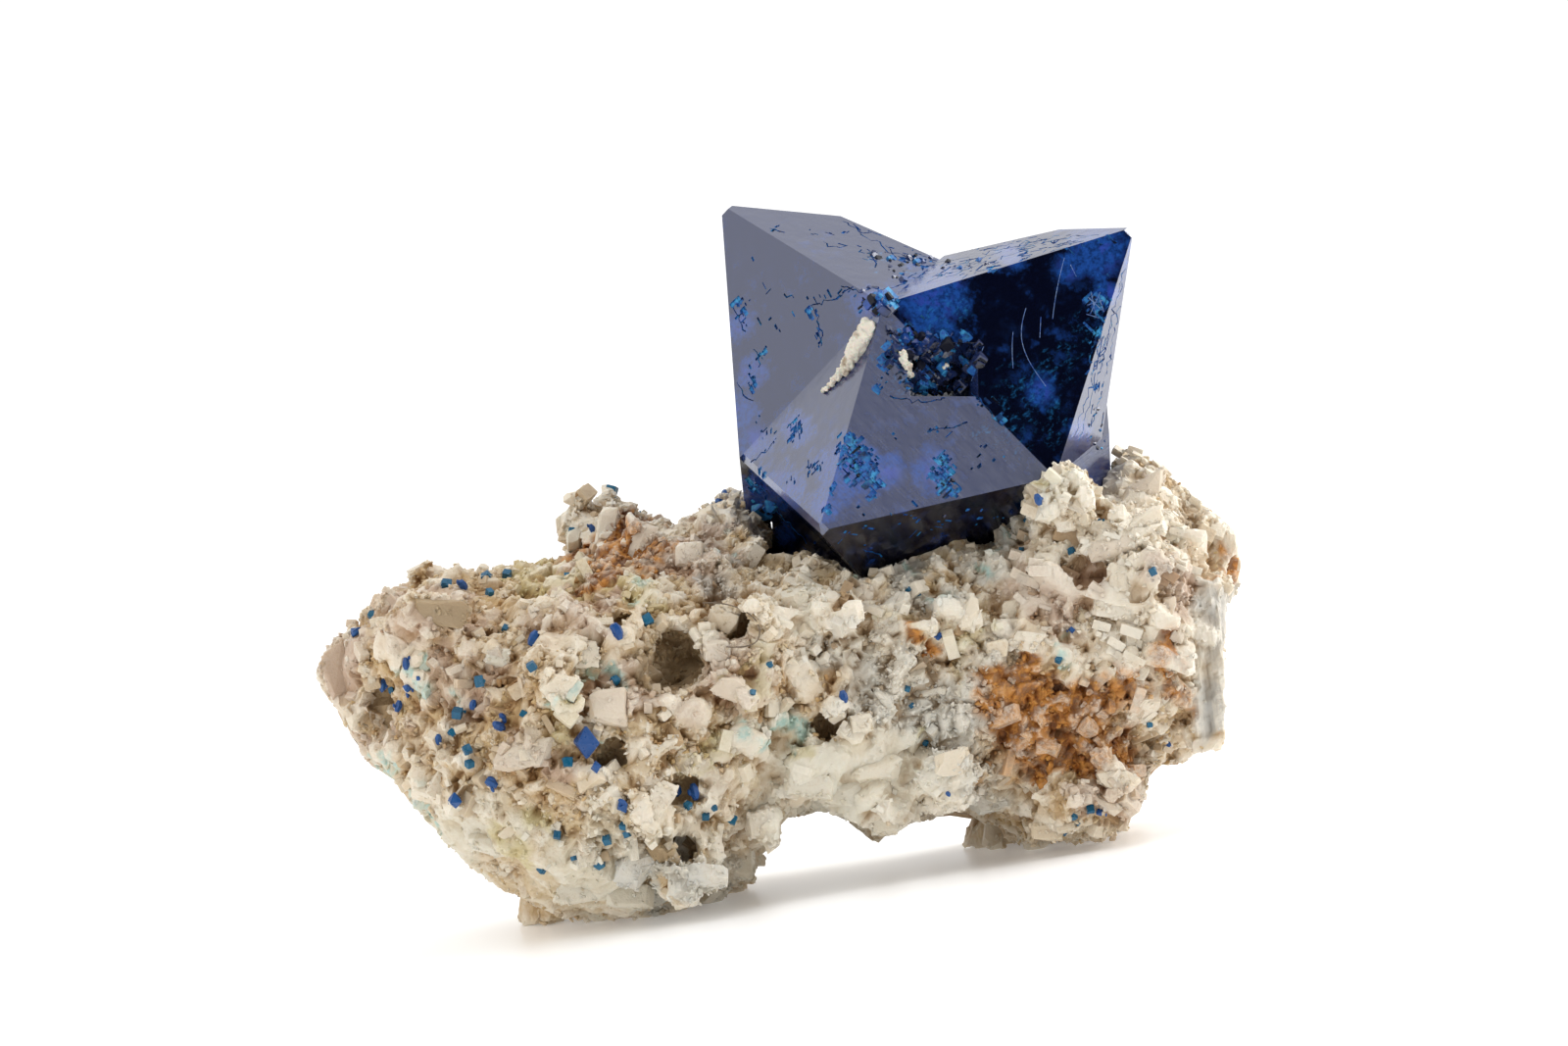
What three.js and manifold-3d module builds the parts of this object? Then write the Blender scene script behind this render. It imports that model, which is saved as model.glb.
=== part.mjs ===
import * as THREE from 'three';
import { mergeVertices } from 'three/addons/utils/BufferGeometryUtils.js';
import { ConvexGeometry } from 'three/addons/geometries/ConvexGeometry.js';
import { SimplexNoise } from 'three/addons/math/SimplexNoise.js';
import Module from 'manifold-3d';

// Millimetres. Pieces are shaped in the front view: x to the right, y away from the viewer, z up.
// The group at the end leans that view onto the surface that the specimen stands on.

// Big crystals: a star of six square pyramids grown on one core
const ARM_LENGTH = 10.45;
const ARM_SLOPE = 0.617;
const CORE_HALF = ARM_LENGTH * ARM_SLOPE / (1 + ARM_SLOPE);
const STAR_CENTRE = new THREE.Vector3(5.27, 1.5, 3.1);
const STAR_TURN_DEG = [38.98, 36.15, 150.56];
const BLUNT_TIP = 0.28;
const SOCKET_SCALE = 1.05;

// How the specimen leans against the front view
const LEAN_ELEVATION_DEG = -4;
const LEAN_ROLL_DEG = 9;
const GROUND_BELOW_VIEW = -11.8;

// Matrix rock: stations from left to right, each [x, bottom, top, front, back]
const STATIONS = [
  [-15.1, -5.2, -4.1, -1.6, 0.2],
  [-14.5, -6.1, -3.7, -3.0, 1.5],
  [-13.4, -7.8, -2.7, -4.8, 3.0],
  [-12.1, -9.3, -1.9, -6.2, 4.0],
  [-10.6, -11.1, -1.6, -7.4, 4.8],
  [-9.0, -12.0, -1.8, -8.2, 5.4],
  [-7.0, -12.6, -1.4, -8.5, 5.8],
  [-5.1, -13.1, -0.7, -8.4, 6.0],
  [-3.5, -12.6, -0.2, -8.0, 6.2],
  [-1.9, -12.0, 0.6, -7.3, 6.4],
  [-0.8, -11.3, 1.0, -6.9, 6.5],
  [-0.2, -9.5, 1.1, -6.7, 6.5],
  [0.6, -9.2, 1.4, -6.5, 6.5],
  [2.9, -10.2, 1.4, -6.2, 6.4],
  [4.8, -9.6, 1.6, -6.0, 6.3],
  [6.1, -9.7, 1.7, -5.8, 6.2],
  [7.6, -10.3, 1.8, -5.7, 6.2],
  [9.0, -10.6, 1.8, -5.6, 6.0],
  [11.1, -9.9, 1.9, -5.4, 5.8],
  [11.8, -8.6, 1.7, -5.2, 5.6],
  [12.9, -7.3, 0.7, -4.9, 5.2],
  [13.9, -7.2, -0.4, -4.4, 4.6],
  [14.4, -7.1, -1.4, -4.0, 4.2],
];
const RING_STEP = 1.15;
const RING_SIDES = 26;
const SECTION_POWER = 2.6;
const FRONT_SLOPE_STATIONS = [
  [-15.1, 0.05],
  [-5, 0.1],
  [-2.5, 0.3],
  [-1, 0.5],
  [6.5, 0.5],
  [9.5, 0.2],
  [14.4, 0.1],
];
const LUMP_WAVES = [[4.2, 0.45], [1.9, 0.3]];

// Lumps on the rock: [x, y, z, half length, half depth, half height]
const LUMPS = [
  [-5.7, 0.3, -0.6, 1.4, 1.6, 1.7],
  [-6.8, -0.1, -0.1, 0.5, 0.5, 1.3],
  [-4.4, 0.2, -0.9, 1.2, 1.5, 1.1],
  [-2.2, 4.0, 0.2, 1.4, 2.0, 0.9],
  [9.1, -3.9, 0.8, 1.15, 1.4, 1.35],
  [11.1, 0.9, 1.5, 1.1, 1.6, 1.0],
  [12.4, 0.4, 0.9, 1.2, 1.8, 1.1],
  [13.4, -0.2, -0.3, 1.0, 2.0, 1.2],
  [13.9, 0.0, -1.5, 1.0, 2.0, 1.4],
  [-4.9, -7.4, -5.5, 1.2, 0.9, 1.1],
  [-1.8, -6.9, -4.7, 0.95, 0.9, 1.0],
  [-0.9, -6.0, -3.0, 1.3, 1.1, 0.8],
  [1.3, -5.6, -2.8, 1.2, 1.0, 0.7],
  [2.9, -4.6, -2.7, 0.9, 0.8, 0.6],
  [-0.5, -5.5, -9.8, 0.5, 1.0, 0.8],
  [0.8, -5.6, -7.9, 1.4, 1.2, 1.1],
  [2.9, -5.2, -9.0, 1.3, 1.3, 1.1],
  [5.4, -5.0, -8.3, 1.4, 1.2, 0.9],
  [9.6, -3.0, -9.0, 1.9, 2.4, 1.5],
  [10.7, -4.6, -8.7, 0.7, 0.8, 0.9],
  [12.3, -4.5, -3.4, 1.1, 1.0, 1.6],
  [-11.6, -5.6, -3.1, 1.4, 0.9, 0.8],
  [-3.2, -6.8, -11.2, 1.3, 1.2, 0.9],
  [-4.8, -7.8, -9.2, 1.2, 0.8, 1.1],
  [-7.7, -8.2, -5.0, 1.3, 0.8, 0.9],
  [-10.3, -7.0, -8.2, 1.0, 0.8, 0.9],
  [-4.0, 5.0, -10.8, 2.2, 1.7, 2.1],
  [9.2, 1.8, -9.4, 1.9, 2.5, 1.4],
  [4.2, 6.0, -4.5, 1.8, 1.2, 1.3],
  [-7.6, 5.4, -5.2, 1.9, 1.1, 1.4],
  [9.6, 5.6, -6.0, 1.5, 1.1, 1.3],
  [-1.2, 6.2, -3.4, 1.6, 1.0, 1.2],
  [-11.2, 3.6, -6.4, 1.3, 1.1, 1.5],
  [7.0, 3.2, -9.8, 1.7, 1.6, 0.9],
  [-7.6, 1.0, -12.2, 2.0, 2.2, 0.9],
];
const LUMP_DETAIL = 1;
const LUMP_ROUGHNESS = 0.35;
const LUMP_FREQUENCY = 2.1;

// The cleaved slab that closes the right side, and the hollow in which the broken stub stands
const SLAB = { centre: [13.75, -3.1, -4.5], size: [1.1, 2.6, 5.3] };
const STUB_HOLLOW = { centre: [0.0, -0.8, 1.5], halves: [2.0, 5.8, 2.65] };

// Vugs and holes in the front: [x, z, half width, half height, depth]
const VUGS = [
  [-3.45, -4.4, 0.75, 1.0, 1.6],
  [-1.45, -3.3, 0.7, 0.45, 0.9],
  [-13.1, -6.0, 0.75, 1.1, 0.9],
  [-5.4, -3.1, 0.4, 0.35, 0.6],
  [-6.1, -3.75, 0.35, 0.4, 0.6],
  [-5.6, -7.4, 0.6, 0.35, 0.6],
  [-3.2, -8.6, 0.5, 0.3, 0.6],
  [-3.6, -10.4, 0.55, 0.4, 0.7],
  [1.4, -6.5, 0.6, 0.35, 0.6],
  [9.0, -5.4, 0.3, 0.35, 0.5],
  [4.4, -7.1, 0.45, 0.3, 0.5],
  [-8.2, -7.9, 0.5, 0.4, 0.6],
];

// Pale blocky crystals on the front: [x, z, width, height, depth, turn in degrees]
const BLOCKS = [
  [12.2, 1.0, 2.2, 0.8, 1.2, 30],
  [11.4, -0.2, 1.9, 1.2, 1.0, 25],
  [12.8, -0.4, 1.3, 0.9, 1.0, 30],
  [9.5, 1.1, 1.6, 0.9, 1.0, 20],
  [10.4, 0.4, 1.2, 0.8, 1.0, 25],
  [10.1, -1.0, 1.6, 0.8, 1.0, 12],
  [11.8, -1.7, 1.0, 1.4, 1.0, 8],
  [10.7, -2.0, 0.9, 1.5, 1.0, 6],
  [9.2, -2.4, 0.5, 1.1, 0.9, 4],
  [8.4, -2.1, 0.5, 1.2, 0.9, 8],
  [12.5, -2.9, 0.6, 1.1, 0.8, 0],
  [5.95, -2.8, 0.6, 1.4, 0.8, -8],
  [8.1, -3.8, 2.2, 0.9, 0.9, 5],
  [5.3, -7.8, 1.3, 0.9, 0.9, 25],
  [2.3, -6.6, 0.9, 0.9, 0.8, 35],
  [-4.8, -0.5, 1.6, 0.8, 0.9, 50],
  [-11.5, -3.0, 2.1, 1.5, 1.1, 18],
  [-2.1, -4.9, 1.0, 0.8, 0.9, -10],
  [-0.6, -5.1, 0.9, 0.6, 0.8, 15],
  [-4.4, -9.4, 0.7, 2.4, 0.9, -25],
  [-3.7, -9.9, 0.5, 1.6, 0.9, -32],
  [-7.2, -5.3, 1.5, 1.0, 0.9, 15],
  [-8.2, -7.5, 1.8, 1.0, 0.9, 8],
  [-9.6, -5.2, 0.9, 0.6, 0.8, -25],
  [-6.1, -8.9, 0.8, 0.6, 0.8, 12],
  [10.8, -8.2, 0.7, 1.9, 0.9, -30],
  [11.4, -8.2, 0.7, 1.7, 0.9, -48],
  [3.4, -3.9, 1.2, 0.8, 0.8, -15],
];
const BLOCK_TILT_DEG = 12;
const CORNER_WEAR = 0.38;
const SCATTERED_BLOCKS = 40;
const BLOCK_SIZES = [0.9, 1.9];
const BLOCK_SHARES = [1, 0.7, 0.55];

// Small blue crystals on the rock: [x, z, size]
const ROYAL_CRYSTALS = [
  [-6.50, -7.16, 1.09],
  [-10.50, -2.21, 0.58],
  [-13.95, -3.65, 0.45],
  [-12.04, -4.52, 0.45],
  [-13.01, -5.07, 0.58],
  [-12.43, -5.94, 0.45],
  [-8.02, -3.85, 0.61],
  [-10.05, -5.81, 0.48],
  [-9.18, -6.55, 0.52],
  [-11.08, -7.00, 0.45],
  [-9.60, -8.32, 0.55],
  [-10.66, -8.87, 0.64],
  [-5.25, -9.13, 0.61],
  [-5.44, -3.65, 0.58],
  [-2.90, -8.77, 0.52],
  [-3.35, -8.77, 0.42],
  [1.90, -5.81, 0.52],
  [4.99, -3.69, 0.35],
  [8.28, 0.76, 0.45],
  [12.46, -7.13, 0.35],
  [10.30, -9.35, 0.39],
  [-6.28, -0.14, 0.39],
  [9.37, -3.53, 0.39],
  [-12.04, -5.26, 0.39],
];
const TEAL_CRYSTALS = [
  [-7.08, -7.45, 0.39],
  [-10.98, -2.14, 0.39],
  [-9.76, -1.72, 0.39],
  [-9.14, -1.75, 0.35],
  [-13.45, -3.1, 0.32],
  [-8.21, -4.69, 0.39],
  [-9.85, -5.04, 0.39],
  [-10.40, -6.26, 0.39],
  [-10.21, -7.36, 0.35],
  [-10.27, -7.97, 0.35],
  [-7.31, -10.06, 0.39],
  [-6.02, -10.87, 0.39],
  [-4.44, -3.08, 0.45],
  [-6.96, -0.37, 0.29],
  [-7.02, -1.88, 0.32],
  [-8.34, -6.20, 0.32],
  [-3.16, -9.13, 0.29],
  [-2.61, -9.42, 0.32],
  [-1.77, -9.55, 0.32],
  [8.92, -4.46, 0.29],
  [10.24, -0.24, 0.26],
  [11.98, -1.63, 0.29],
  [9.95, -9.23, 0.32],
  [9.08, -9.87, 0.32],
  [9.37, -9.42, 0.29],
  [-5.73, -10.22, 0.32],
  [-10.63, -6.94, 0.32],
  [7.95, 0.05, 0.26],
];
const TEAL_EDGE = 1.6;
const SEAT_GAP = 0.05;
const SEAT_DEPTH = 0.25;

// White bits that lie on the big crystals: [x, z] along the middle and the half thickness there
const WHITE_BITS = {
  white_rod: [[2.83, 6.42, 0.26], [2.5, 5.7, 0.27], [2.0, 4.95, 0.2], [1.3, 4.25, 0.1]],
  white_chip: [[3.77, 5.65, 0.13], [3.95, 5.2, 0.2], [4.15, 4.8, 0.12]],
  white_speck: [[5.1, 5.2, 0.08], [5.25, 5.1, 0.11], [5.4, 5.05, 0.07]],
};
const SEED = 20261128;

// Repeatable random numbers from 0 to 1
const STREAM = { factor: 1664525, step: 1013904223, size: 4294967296 };

function randomStream(seed) {
  let state = seed;
  return () => {
    state = (state * STREAM.factor + STREAM.step) % STREAM.size;
    return state / STREAM.size;
  };
}

const random = randomStream(SEED);
const spread = (reach) => (random() * 2 - 1) * reach;
const noise = new SimplexNoise({ random });
const wasm = await Module();
wasm.setup();

const SAME_POINT = 1e-4;

function toSolid(geometry) {
  const bare = geometry.clone();
  bare.deleteAttribute('normal');
  bare.deleteAttribute('uv');
  const merged = mergeVertices(bare, SAME_POINT);
  return new wasm.Manifold(new wasm.Mesh({
    numProp: 3,
    vertProperties: new Float32Array(merged.attributes.position.array),
    triVerts: new Uint32Array(merged.index.array),
  }));
}

function toGeometry(solid) {
  const mesh = solid.getMesh();
  const geometry = new THREE.BufferGeometry();
  geometry.setAttribute('position', new THREE.BufferAttribute(new Float32Array(mesh.vertProperties), 3));
  geometry.setIndex(new THREE.BufferAttribute(new Uint32Array(mesh.triVerts), 1));
  return geometry;
}

function placed(geometry, centre, turnDeg = [0, 0, 0], scale = [1, 1, 1]) {
  const turn = new THREE.Euler(...turnDeg.map(THREE.MathUtils.degToRad));
  const matrix = new THREE.Matrix4().compose(
    new THREE.Vector3(...centre),
    new THREE.Quaternion().setFromEuler(turn),
    new THREE.Vector3(...scale),
  );
  return geometry.clone().applyMatrix4(matrix);
}

// Takes away all that lies beyond the plane through a point, on the side its normal points to
const CUTTER_SIZE = 60;

function trimmed(solid, point, normal) {
  const out = new THREE.Vector3(...normal).normalize();
  const turn = new THREE.Quaternion().setFromUnitVectors(new THREE.Vector3(0, 0, 1), out);
  const centre = new THREE.Vector3(...point).addScaledVector(out, CUTTER_SIZE / 2);
  const block = new THREE.BoxGeometry(CUTTER_SIZE, CUTTER_SIZE, CUTTER_SIZE);
  block.applyMatrix4(new THREE.Matrix4().compose(centre, turn, new THREE.Vector3(1, 1, 1)));
  return solid.subtract(toSolid(block));
}

// A closed skin over rings of points that all turn the same way
function loft(rings) {
  const sides = rings[0].length;
  const points = rings.flat();
  const faces = [];
  for (let ring = 0; ring < rings.length - 1; ring += 1) {
    for (let side = 0; side < sides; side += 1) {
      const here = ring * sides + side;
      const beside = ring * sides + (side + 1) % sides;
      faces.push(here, beside, here + sides, beside, beside + sides, here + sides);
    }
  }
  const lastStart = (rings.length - 1) * sides;
  for (const [start, isFirst] of [[0, true], [lastStart, false]]) {
    const pole = new THREE.Vector3();
    points.slice(start, start + sides).forEach((point) => pole.addScaledVector(point, 1 / sides));
    points.push(pole);
    for (let side = 0; side < sides; side += 1) {
      const rim = [start + side, start + (side + 1) % sides];
      faces.push(points.length - 1, ...(isFirst ? rim.reverse() : rim));
    }
  }
  const geometry = new THREE.BufferGeometry().setFromPoints(points);
  geometry.setIndex(faces);
  return geometry;
}

// One arm of the star: a square pyramid on one side of the shared core, its root reaching past the centre
const ARMS = {
  left: new THREE.Vector3(1, 0, 0),
  front: new THREE.Vector3(0, 1, 0),
  right: new THREE.Vector3(0, 0, 1),
  buried: new THREE.Vector3(-1, 0, 0),
  back: new THREE.Vector3(0, -1, 0),
  stub: new THREE.Vector3(0, 0, -1),
};

function pyramid(axis, scale = 1) {
  const beside = new THREE.Vector3(axis.y, axis.z, axis.x);
  const along = new THREE.Vector3().crossVectors(axis, beside);
  const points = [axis.clone().multiplyScalar(ARM_LENGTH), axis.clone().multiplyScalar(-CORE_HALF / 2)];
  for (const [p, q] of [[1, 1], [1, -1], [-1, 1], [-1, -1]]) {
    const corner = axis.clone().addScaledVector(beside, p).addScaledVector(along, q);
    points.push(corner.multiplyScalar(CORE_HALF));
  }
  const geometry = new ConvexGeometry(points).scale(scale, scale, scale);
  return placed(geometry, STAR_CENTRE.toArray(), STAR_TURN_DEG);
}

function starDirection(x, y, z) {
  const turn = new THREE.Euler(...STAR_TURN_DEG.map(THREE.MathUtils.degToRad));
  return new THREE.Vector3(x, y, z).applyEuler(turn);
}

function bluntTip(solid, axis) {
  const out = starDirection(...axis.toArray());
  const point = STAR_CENTRE.clone().addScaledVector(out, ARM_LENGTH - BLUNT_TIP);
  return trimmed(solid, point.toArray(), out.toArray());
}

// Worn and broken places: the left crystal's back ridge, the right crystal's back ridge and right side,
// and the shared corners behind them
const LEFT_BACK_TRIM = { point: [4.67, 0.8, 8.74], normal: [0.62, 0.51, 0.59] };
const RIGHT_TOP_TRIM = { point: [4.67, 0.8, 8.74], normal: [0.03, 0.57, 0.82] };
const REAR_TOP_TRIM = { point: [6.4, 3.1, 9.0], normal: [0, 0.2, 1] };
const REAR_SIDE_TRIM = { point: [10.65, 0, 4], normal: [1, 0, 0.03] };
const RIGHT_SIDE_TRIM = { point: [11.33, -3.64, 9.13], normal: [0.8, 0.6, 0.16] };

function leftCrystal() {
  const solid = bluntTip(toSolid(pyramid(ARMS.left)), ARMS.left);
  return trimmed(solid, LEFT_BACK_TRIM.point, LEFT_BACK_TRIM.normal);
}

function rightCrystal() {
  const solid = bluntTip(toSolid(pyramid(ARMS.right)), ARMS.right);
  const topped = trimmed(solid, RIGHT_TOP_TRIM.point, RIGHT_TOP_TRIM.normal);
  return trimmed(topped, RIGHT_SIDE_TRIM.point, RIGHT_SIDE_TRIM.normal);
}

// The arm that points down beside the front crystal is broken off in a step
const STUB_STEP = { centre: [-5.39, 3, -4.76], size: [10, 20, 10] };

function stub(scale = 1) {
  const step = placed(new THREE.BoxGeometry(...STUB_STEP.size), STUB_STEP.centre);
  const gap = (scale - 1) * CORE_HALF;
  return toSolid(pyramid(ARMS.stub, scale)).subtract(toSolid(step.translate(-gap, 0, -gap)));
}

// A bevel along the front crystal's lower left ridge, a ledge on its right face
const RIDGE_BEVEL = 0.12;
const LEDGE = { centre: [5.2, -4.25, 5.0], turn: [0, 0, 22], size: [2.3, 1.9, 1.75] };

function frontCrystal() {
  const solid = bluntTip(toSolid(pyramid(ARMS.front)), ARMS.front);
  const out = starDirection(1, 2 * ARM_SLOPE, -1).normalize();
  const tip = STAR_CENTRE.clone().addScaledVector(starDirection(0, 1, 0), ARM_LENGTH);
  return trimmed(solid, tip.addScaledVector(out, -RIDGE_BEVEL).toArray(), out.toArray());
}

// Small crystals grown into the recess over the ledge and into the valley above it: [x, y, z, size]
const INTERGROWN = [
  [3.3, -3.5, 7.1, 0.75],
  [4.6, -3.5, 5.9, 0.6],
  [3.9, -3.9, 5.5, 0.5],
  [5.3, -3.2, 4.9, 0.5],
  [4.5, -3.7, 4.8, 0.55],
  [5.8, -3.3, 4.5, 0.35],
];

function cluster() {
  let solid = leftCrystal().add(rightCrystal()).add(frontCrystal()).add(stub());
  const rear = toSolid(pyramid(ARMS.back)).add(toSolid(pyramid(ARMS.buried)));
  const lowered = trimmed(rear, REAR_TOP_TRIM.point, REAR_TOP_TRIM.normal);
  solid = solid.add(trimmed(lowered, REAR_SIDE_TRIM.point, REAR_SIDE_TRIM.normal));
  solid = solid.subtract(toSolid(placed(new THREE.BoxGeometry(...LEDGE.size), LEDGE.centre, LEDGE.turn)));
  for (const [x, y, z, size] of INTERGROWN) {
    solid = solid.add(toSolid(placed(new THREE.BoxGeometry(size, size, size), [x, y, z], STAR_TURN_DEG)));
  }
  return solid;
}

function join(first, others) {
  return others.reduce((whole, part) => whole.add(part), first);
}

function socket() {
  const whole = Object.values(ARMS).filter((axis) => axis !== ARMS.stub);
  return join(stub(SOCKET_SCALE), whole.map((axis) => toSolid(pyramid(axis, SOCKET_SCALE))));
}

// Rock body: rings along x whose reach follows the stations, roughened by two waves of noise
function between(stations, x, column) {
  const next = stations.findIndex((station) => station[0] >= x);
  if (next <= 0) {
    return stations[next < 0 ? stations.length - 1 : 0][column];
  }
  const before = stations[next - 1];
  const after = stations[next];
  const share = (x - before[0]) / (after[0] - before[0]);
  return before[column] + (after[column] - before[column]) * share;
}

function roughness(point) {
  let sum = 0;
  for (const [length, height] of LUMP_WAVES) {
    sum += height * noise.noise3d(point.x / length, point.y / length, point.z / length);
  }
  return sum;
}

function ringPoint(x, angle) {
  const [bottom, top, front, back] = [1, 2, 3, 4].map((column) => between(STATIONS, x, column));
  const across = Math.cos(angle);
  const upward = Math.sin(angle);
  const power = 2 / SECTION_POWER;
  const side = Math.sign(across) * Math.abs(across) ** power;
  const rise = Math.sign(upward) * Math.abs(upward) ** power;
  const middle = new THREE.Vector3(x, (front + back) / 2, (bottom + top) / 2);
  const reach = new THREE.Vector3(0, side * (back - front) / 2, rise * (top - bottom) / 2);
  const point = middle.clone().add(reach);
  const slope = between(FRONT_SLOPE_STATIONS, x, 1);
  point.z -= slope * Math.max(0, middle.y - point.y) * Math.max(0, rise);
  const outward = point.clone().sub(middle).normalize();
  return point.addScaledVector(outward, roughness(point));
}

function rockBody() {
  const left = STATIONS[0][0];
  const right = STATIONS.at(-1)[0];
  const count = Math.round((right - left) / RING_STEP);
  const rings = [];
  for (let ring = 0; ring <= count; ring += 1) {
    const x = left + (right - left) * ring / count;
    const angles = Array.from({ length: RING_SIDES }, (_, side) => side / RING_SIDES * Math.PI * 2);
    rings.push(angles.map((angle) => ringPoint(x, angle)));
  }
  return loft(rings);
}

// A rough lump, rounder than the blocky crystals
function lump([x, y, z, ...halves]) {
  const ball = new THREE.IcosahedronGeometry(1, LUMP_DETAIL);
  const geometry = mergeVertices(ball.deleteAttribute('normal').deleteAttribute('uv'));
  const positions = geometry.attributes.position;
  const point = new THREE.Vector3();
  for (let index = 0; index < positions.count; index += 1) {
    point.fromBufferAttribute(positions, index);
    const [u, v, w] = point.toArray().map((value) => value * LUMP_FREQUENCY);
    const bump = noise.noise3d(u + x, v + y, w + z);
    positions.setXYZ(index, ...point.multiplyScalar(1 + LUMP_ROUGHNESS * bump).toArray());
  }
  return toSolid(placed(geometry, [x, y, z], [0, 0, 0], halves));
}

// The first point of a mesh that a straight line meets, and the way its face looks
const sight = new THREE.Raycaster();
const AWAY = new THREE.Vector3(0, 1, 0);
const SIGHT_START = 30;

function meet(mesh, origin, direction) {
  sight.set(origin, direction.clone().normalize());
  return sight.intersectObject(mesh)[0];
}

function fromFront(mesh, x, z) {
  return meet(mesh, new THREE.Vector3(x, -SIGHT_START, z), AWAY);
}

function probe(solid) {
  return new THREE.Mesh(toGeometry(solid), new THREE.MeshBasicMaterial({ side: THREE.DoubleSide }));
}

function vug(surface, [x, z, halfWidth, halfHeight, depth]) {
  const hit = fromFront(surface, x, z);
  const hole = new THREE.IcosahedronGeometry(1, 1);
  return toSolid(placed(hole, hit.point.toArray(), [0, 0, 0], [halfWidth, depth, halfHeight]));
}

// A crystal block whose corners are worn back by different amounts
function wornBlock(...size) {
  const corners = [];
  const worn = (length, side) => length * side / 2 * (1 - CORNER_WEAR * random());
  for (const x of [-1, 1]) {
    for (const y of [-1, 1]) {
      for (const z of [-1, 1]) {
        corners.push(new THREE.Vector3(worn(size[0], x), worn(size[1], y), worn(size[2], z)));
      }
    }
  }
  return new ConvexGeometry(corners);
}

function frontBlock(surface, [x, z, width, height, depth, turn]) {
  const hit = fromFront(surface, x, z);
  const tilt = [spread(BLOCK_TILT_DEG), turn, spread(BLOCK_TILT_DEG)];
  return toSolid(placed(wornBlock(width, depth, height), hit.point.toArray(), tilt));
}

// Blocks on the sides and the back, found from random directions around the rock
const ROCK_MIDDLE = [0, 0, -5.5];
const ROCK_REACH = 13;
const SCATTER_MIDDLE_DEG = 54;
const SCATTER_REACH_DEG = 117;
const ANY_TURN_DEG = 90;

const anyTurn = () => [random() * ANY_TURN_DEG, random() * ANY_TURN_DEG, random() * ANY_TURN_DEG];

function scatteredBlock(surface) {
  const middle = new THREE.Vector3(...ROCK_MIDDLE);
  middle.x += spread(ROCK_REACH);
  const angle = THREE.MathUtils.degToRad(SCATTER_MIDDLE_DEG + spread(SCATTER_REACH_DEG));
  const inward = new THREE.Vector3(0, -Math.cos(angle), -Math.sin(angle));
  const hit = meet(surface, middle.clone().addScaledVector(inward, -SIGHT_START), inward);
  const size = BLOCK_SIZES[0] + (BLOCK_SIZES[1] - BLOCK_SIZES[0]) * random();
  const block = wornBlock(...BLOCK_SHARES.map((share) => share * size));
  return toSolid(placed(block, hit.point.toArray(), anyTurn()));
}

// The lean of the front view, and the ground in that view
const specimen = new THREE.Group();
const lean = new THREE.Group();
lean.rotation.set(
  THREE.MathUtils.degToRad(LEAN_ELEVATION_DEG),
  THREE.MathUtils.degToRad(LEAN_ROLL_DEG),
  0,
);
lean.position.z = -GROUND_BELOW_VIEW;
specimen.add(lean);
specimen.updateMatrixWorld(true);
const groundPoint = lean.worldToLocal(new THREE.Vector3(0, 0, 0));
const groundNormal = new THREE.Vector3(0, 0, -1).applyQuaternion(lean.quaternion.clone().invert());

// The biggest body of a solid, without crumbs and closed voids
function largest(solid) {
  return solid.decompose().sort((one, other) => other.volume() - one.volume())[0];
}

function matrixRock() {
  const slab = toSolid(placed(new THREE.BoxGeometry(...SLAB.size), SLAB.centre));
  const whole = join(toSolid(rockBody()), LUMPS.map(lump)).add(slab);
  const hollow = new THREE.IcosahedronGeometry(1, LUMP_DETAIL);
  const lumpy = whole.subtract(toSolid(placed(hollow, STUB_HOLLOW.centre, [0, 0, 0], STUB_HOLLOW.halves)));
  const surface = probe(lumpy);
  let rock = join(lumpy, BLOCKS.map((block) => frontBlock(surface, block)));
  for (let index = 0; index < SCATTERED_BLOCKS; index += 1) {
    rock = rock.add(scatteredBlock(surface));
  }
  for (const size of VUGS) {
    rock = rock.subtract(vug(surface, size));
  }
  rock = rock.subtract(socket());
  return largest(trimmed(rock, groundPoint.toArray(), groundNormal.toArray()));
}

function addPiece(name, solid, color, gloss) {
  const material = new THREE.MeshStandardMaterial({ color, roughness: 1 - gloss, metalness: 0 });
  const mesh = new THREE.Mesh(toGeometry(solid), material);
  mesh.name = name;
  lean.add(mesh);
  return mesh;
}

// A small piece set on a carrier: what would sink into the carrier is cut away, with a thin gap
function seated(geometry, carrier, lift) {
  const sunk = toSolid(geometry.clone().translate(-lift.x, -lift.y, -lift.z)).subtract(carrier);
  return toSolid(toGeometry(largest(sunk)).translate(lift.x, lift.y, lift.z));
}

function smallCrystal(shape, surface, carrier, [x, z, size]) {
  const hit = fromFront(surface, x, z);
  const outward = hit.face.normal.clone();
  const centre = hit.point.clone().addScaledVector(outward, size * SEAT_DEPTH);
  const geometry = placed(shape, centre.toArray(), anyTurn(), [size / 2, size / 2, size / 2]);
  return seated(geometry, carrier, outward.multiplyScalar(SEAT_GAP));
}

// A lumpy bar through the given sections, lying in front of the big crystals
const BAR_SIDES = 7;
const BAR_SINK = 0.5;
const BAR_WEAR = 0.15;

function whiteBit(sections, surface, carrier) {
  const points = sections.map(([x, z, radius]) => {
    const hit = fromFront(surface, x, z);
    return new THREE.Vector3(x, hit.point.y - radius * BAR_SINK, z);
  });
  const along = points.at(-1).clone().sub(points[0]).normalize();
  const across = new THREE.Vector3().crossVectors(along, AWAY).normalize();
  const deep = new THREE.Vector3().crossVectors(along, across);
  const rings = sections.map(([, , radius], index) => Array.from({ length: BAR_SIDES }, (_, side) => {
    const angle = side / BAR_SIDES * Math.PI * 2;
    const reach = radius * (1 + spread(BAR_WEAR));
    const point = points[index].clone();
    point.addScaledVector(across, Math.cos(angle) * reach);
    return point.addScaledVector(deep, Math.sin(angle) * reach);
  }));
  return seated(loft(rings), carrier, new THREE.Vector3(0, -SEAT_GAP, 0));
}

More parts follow.
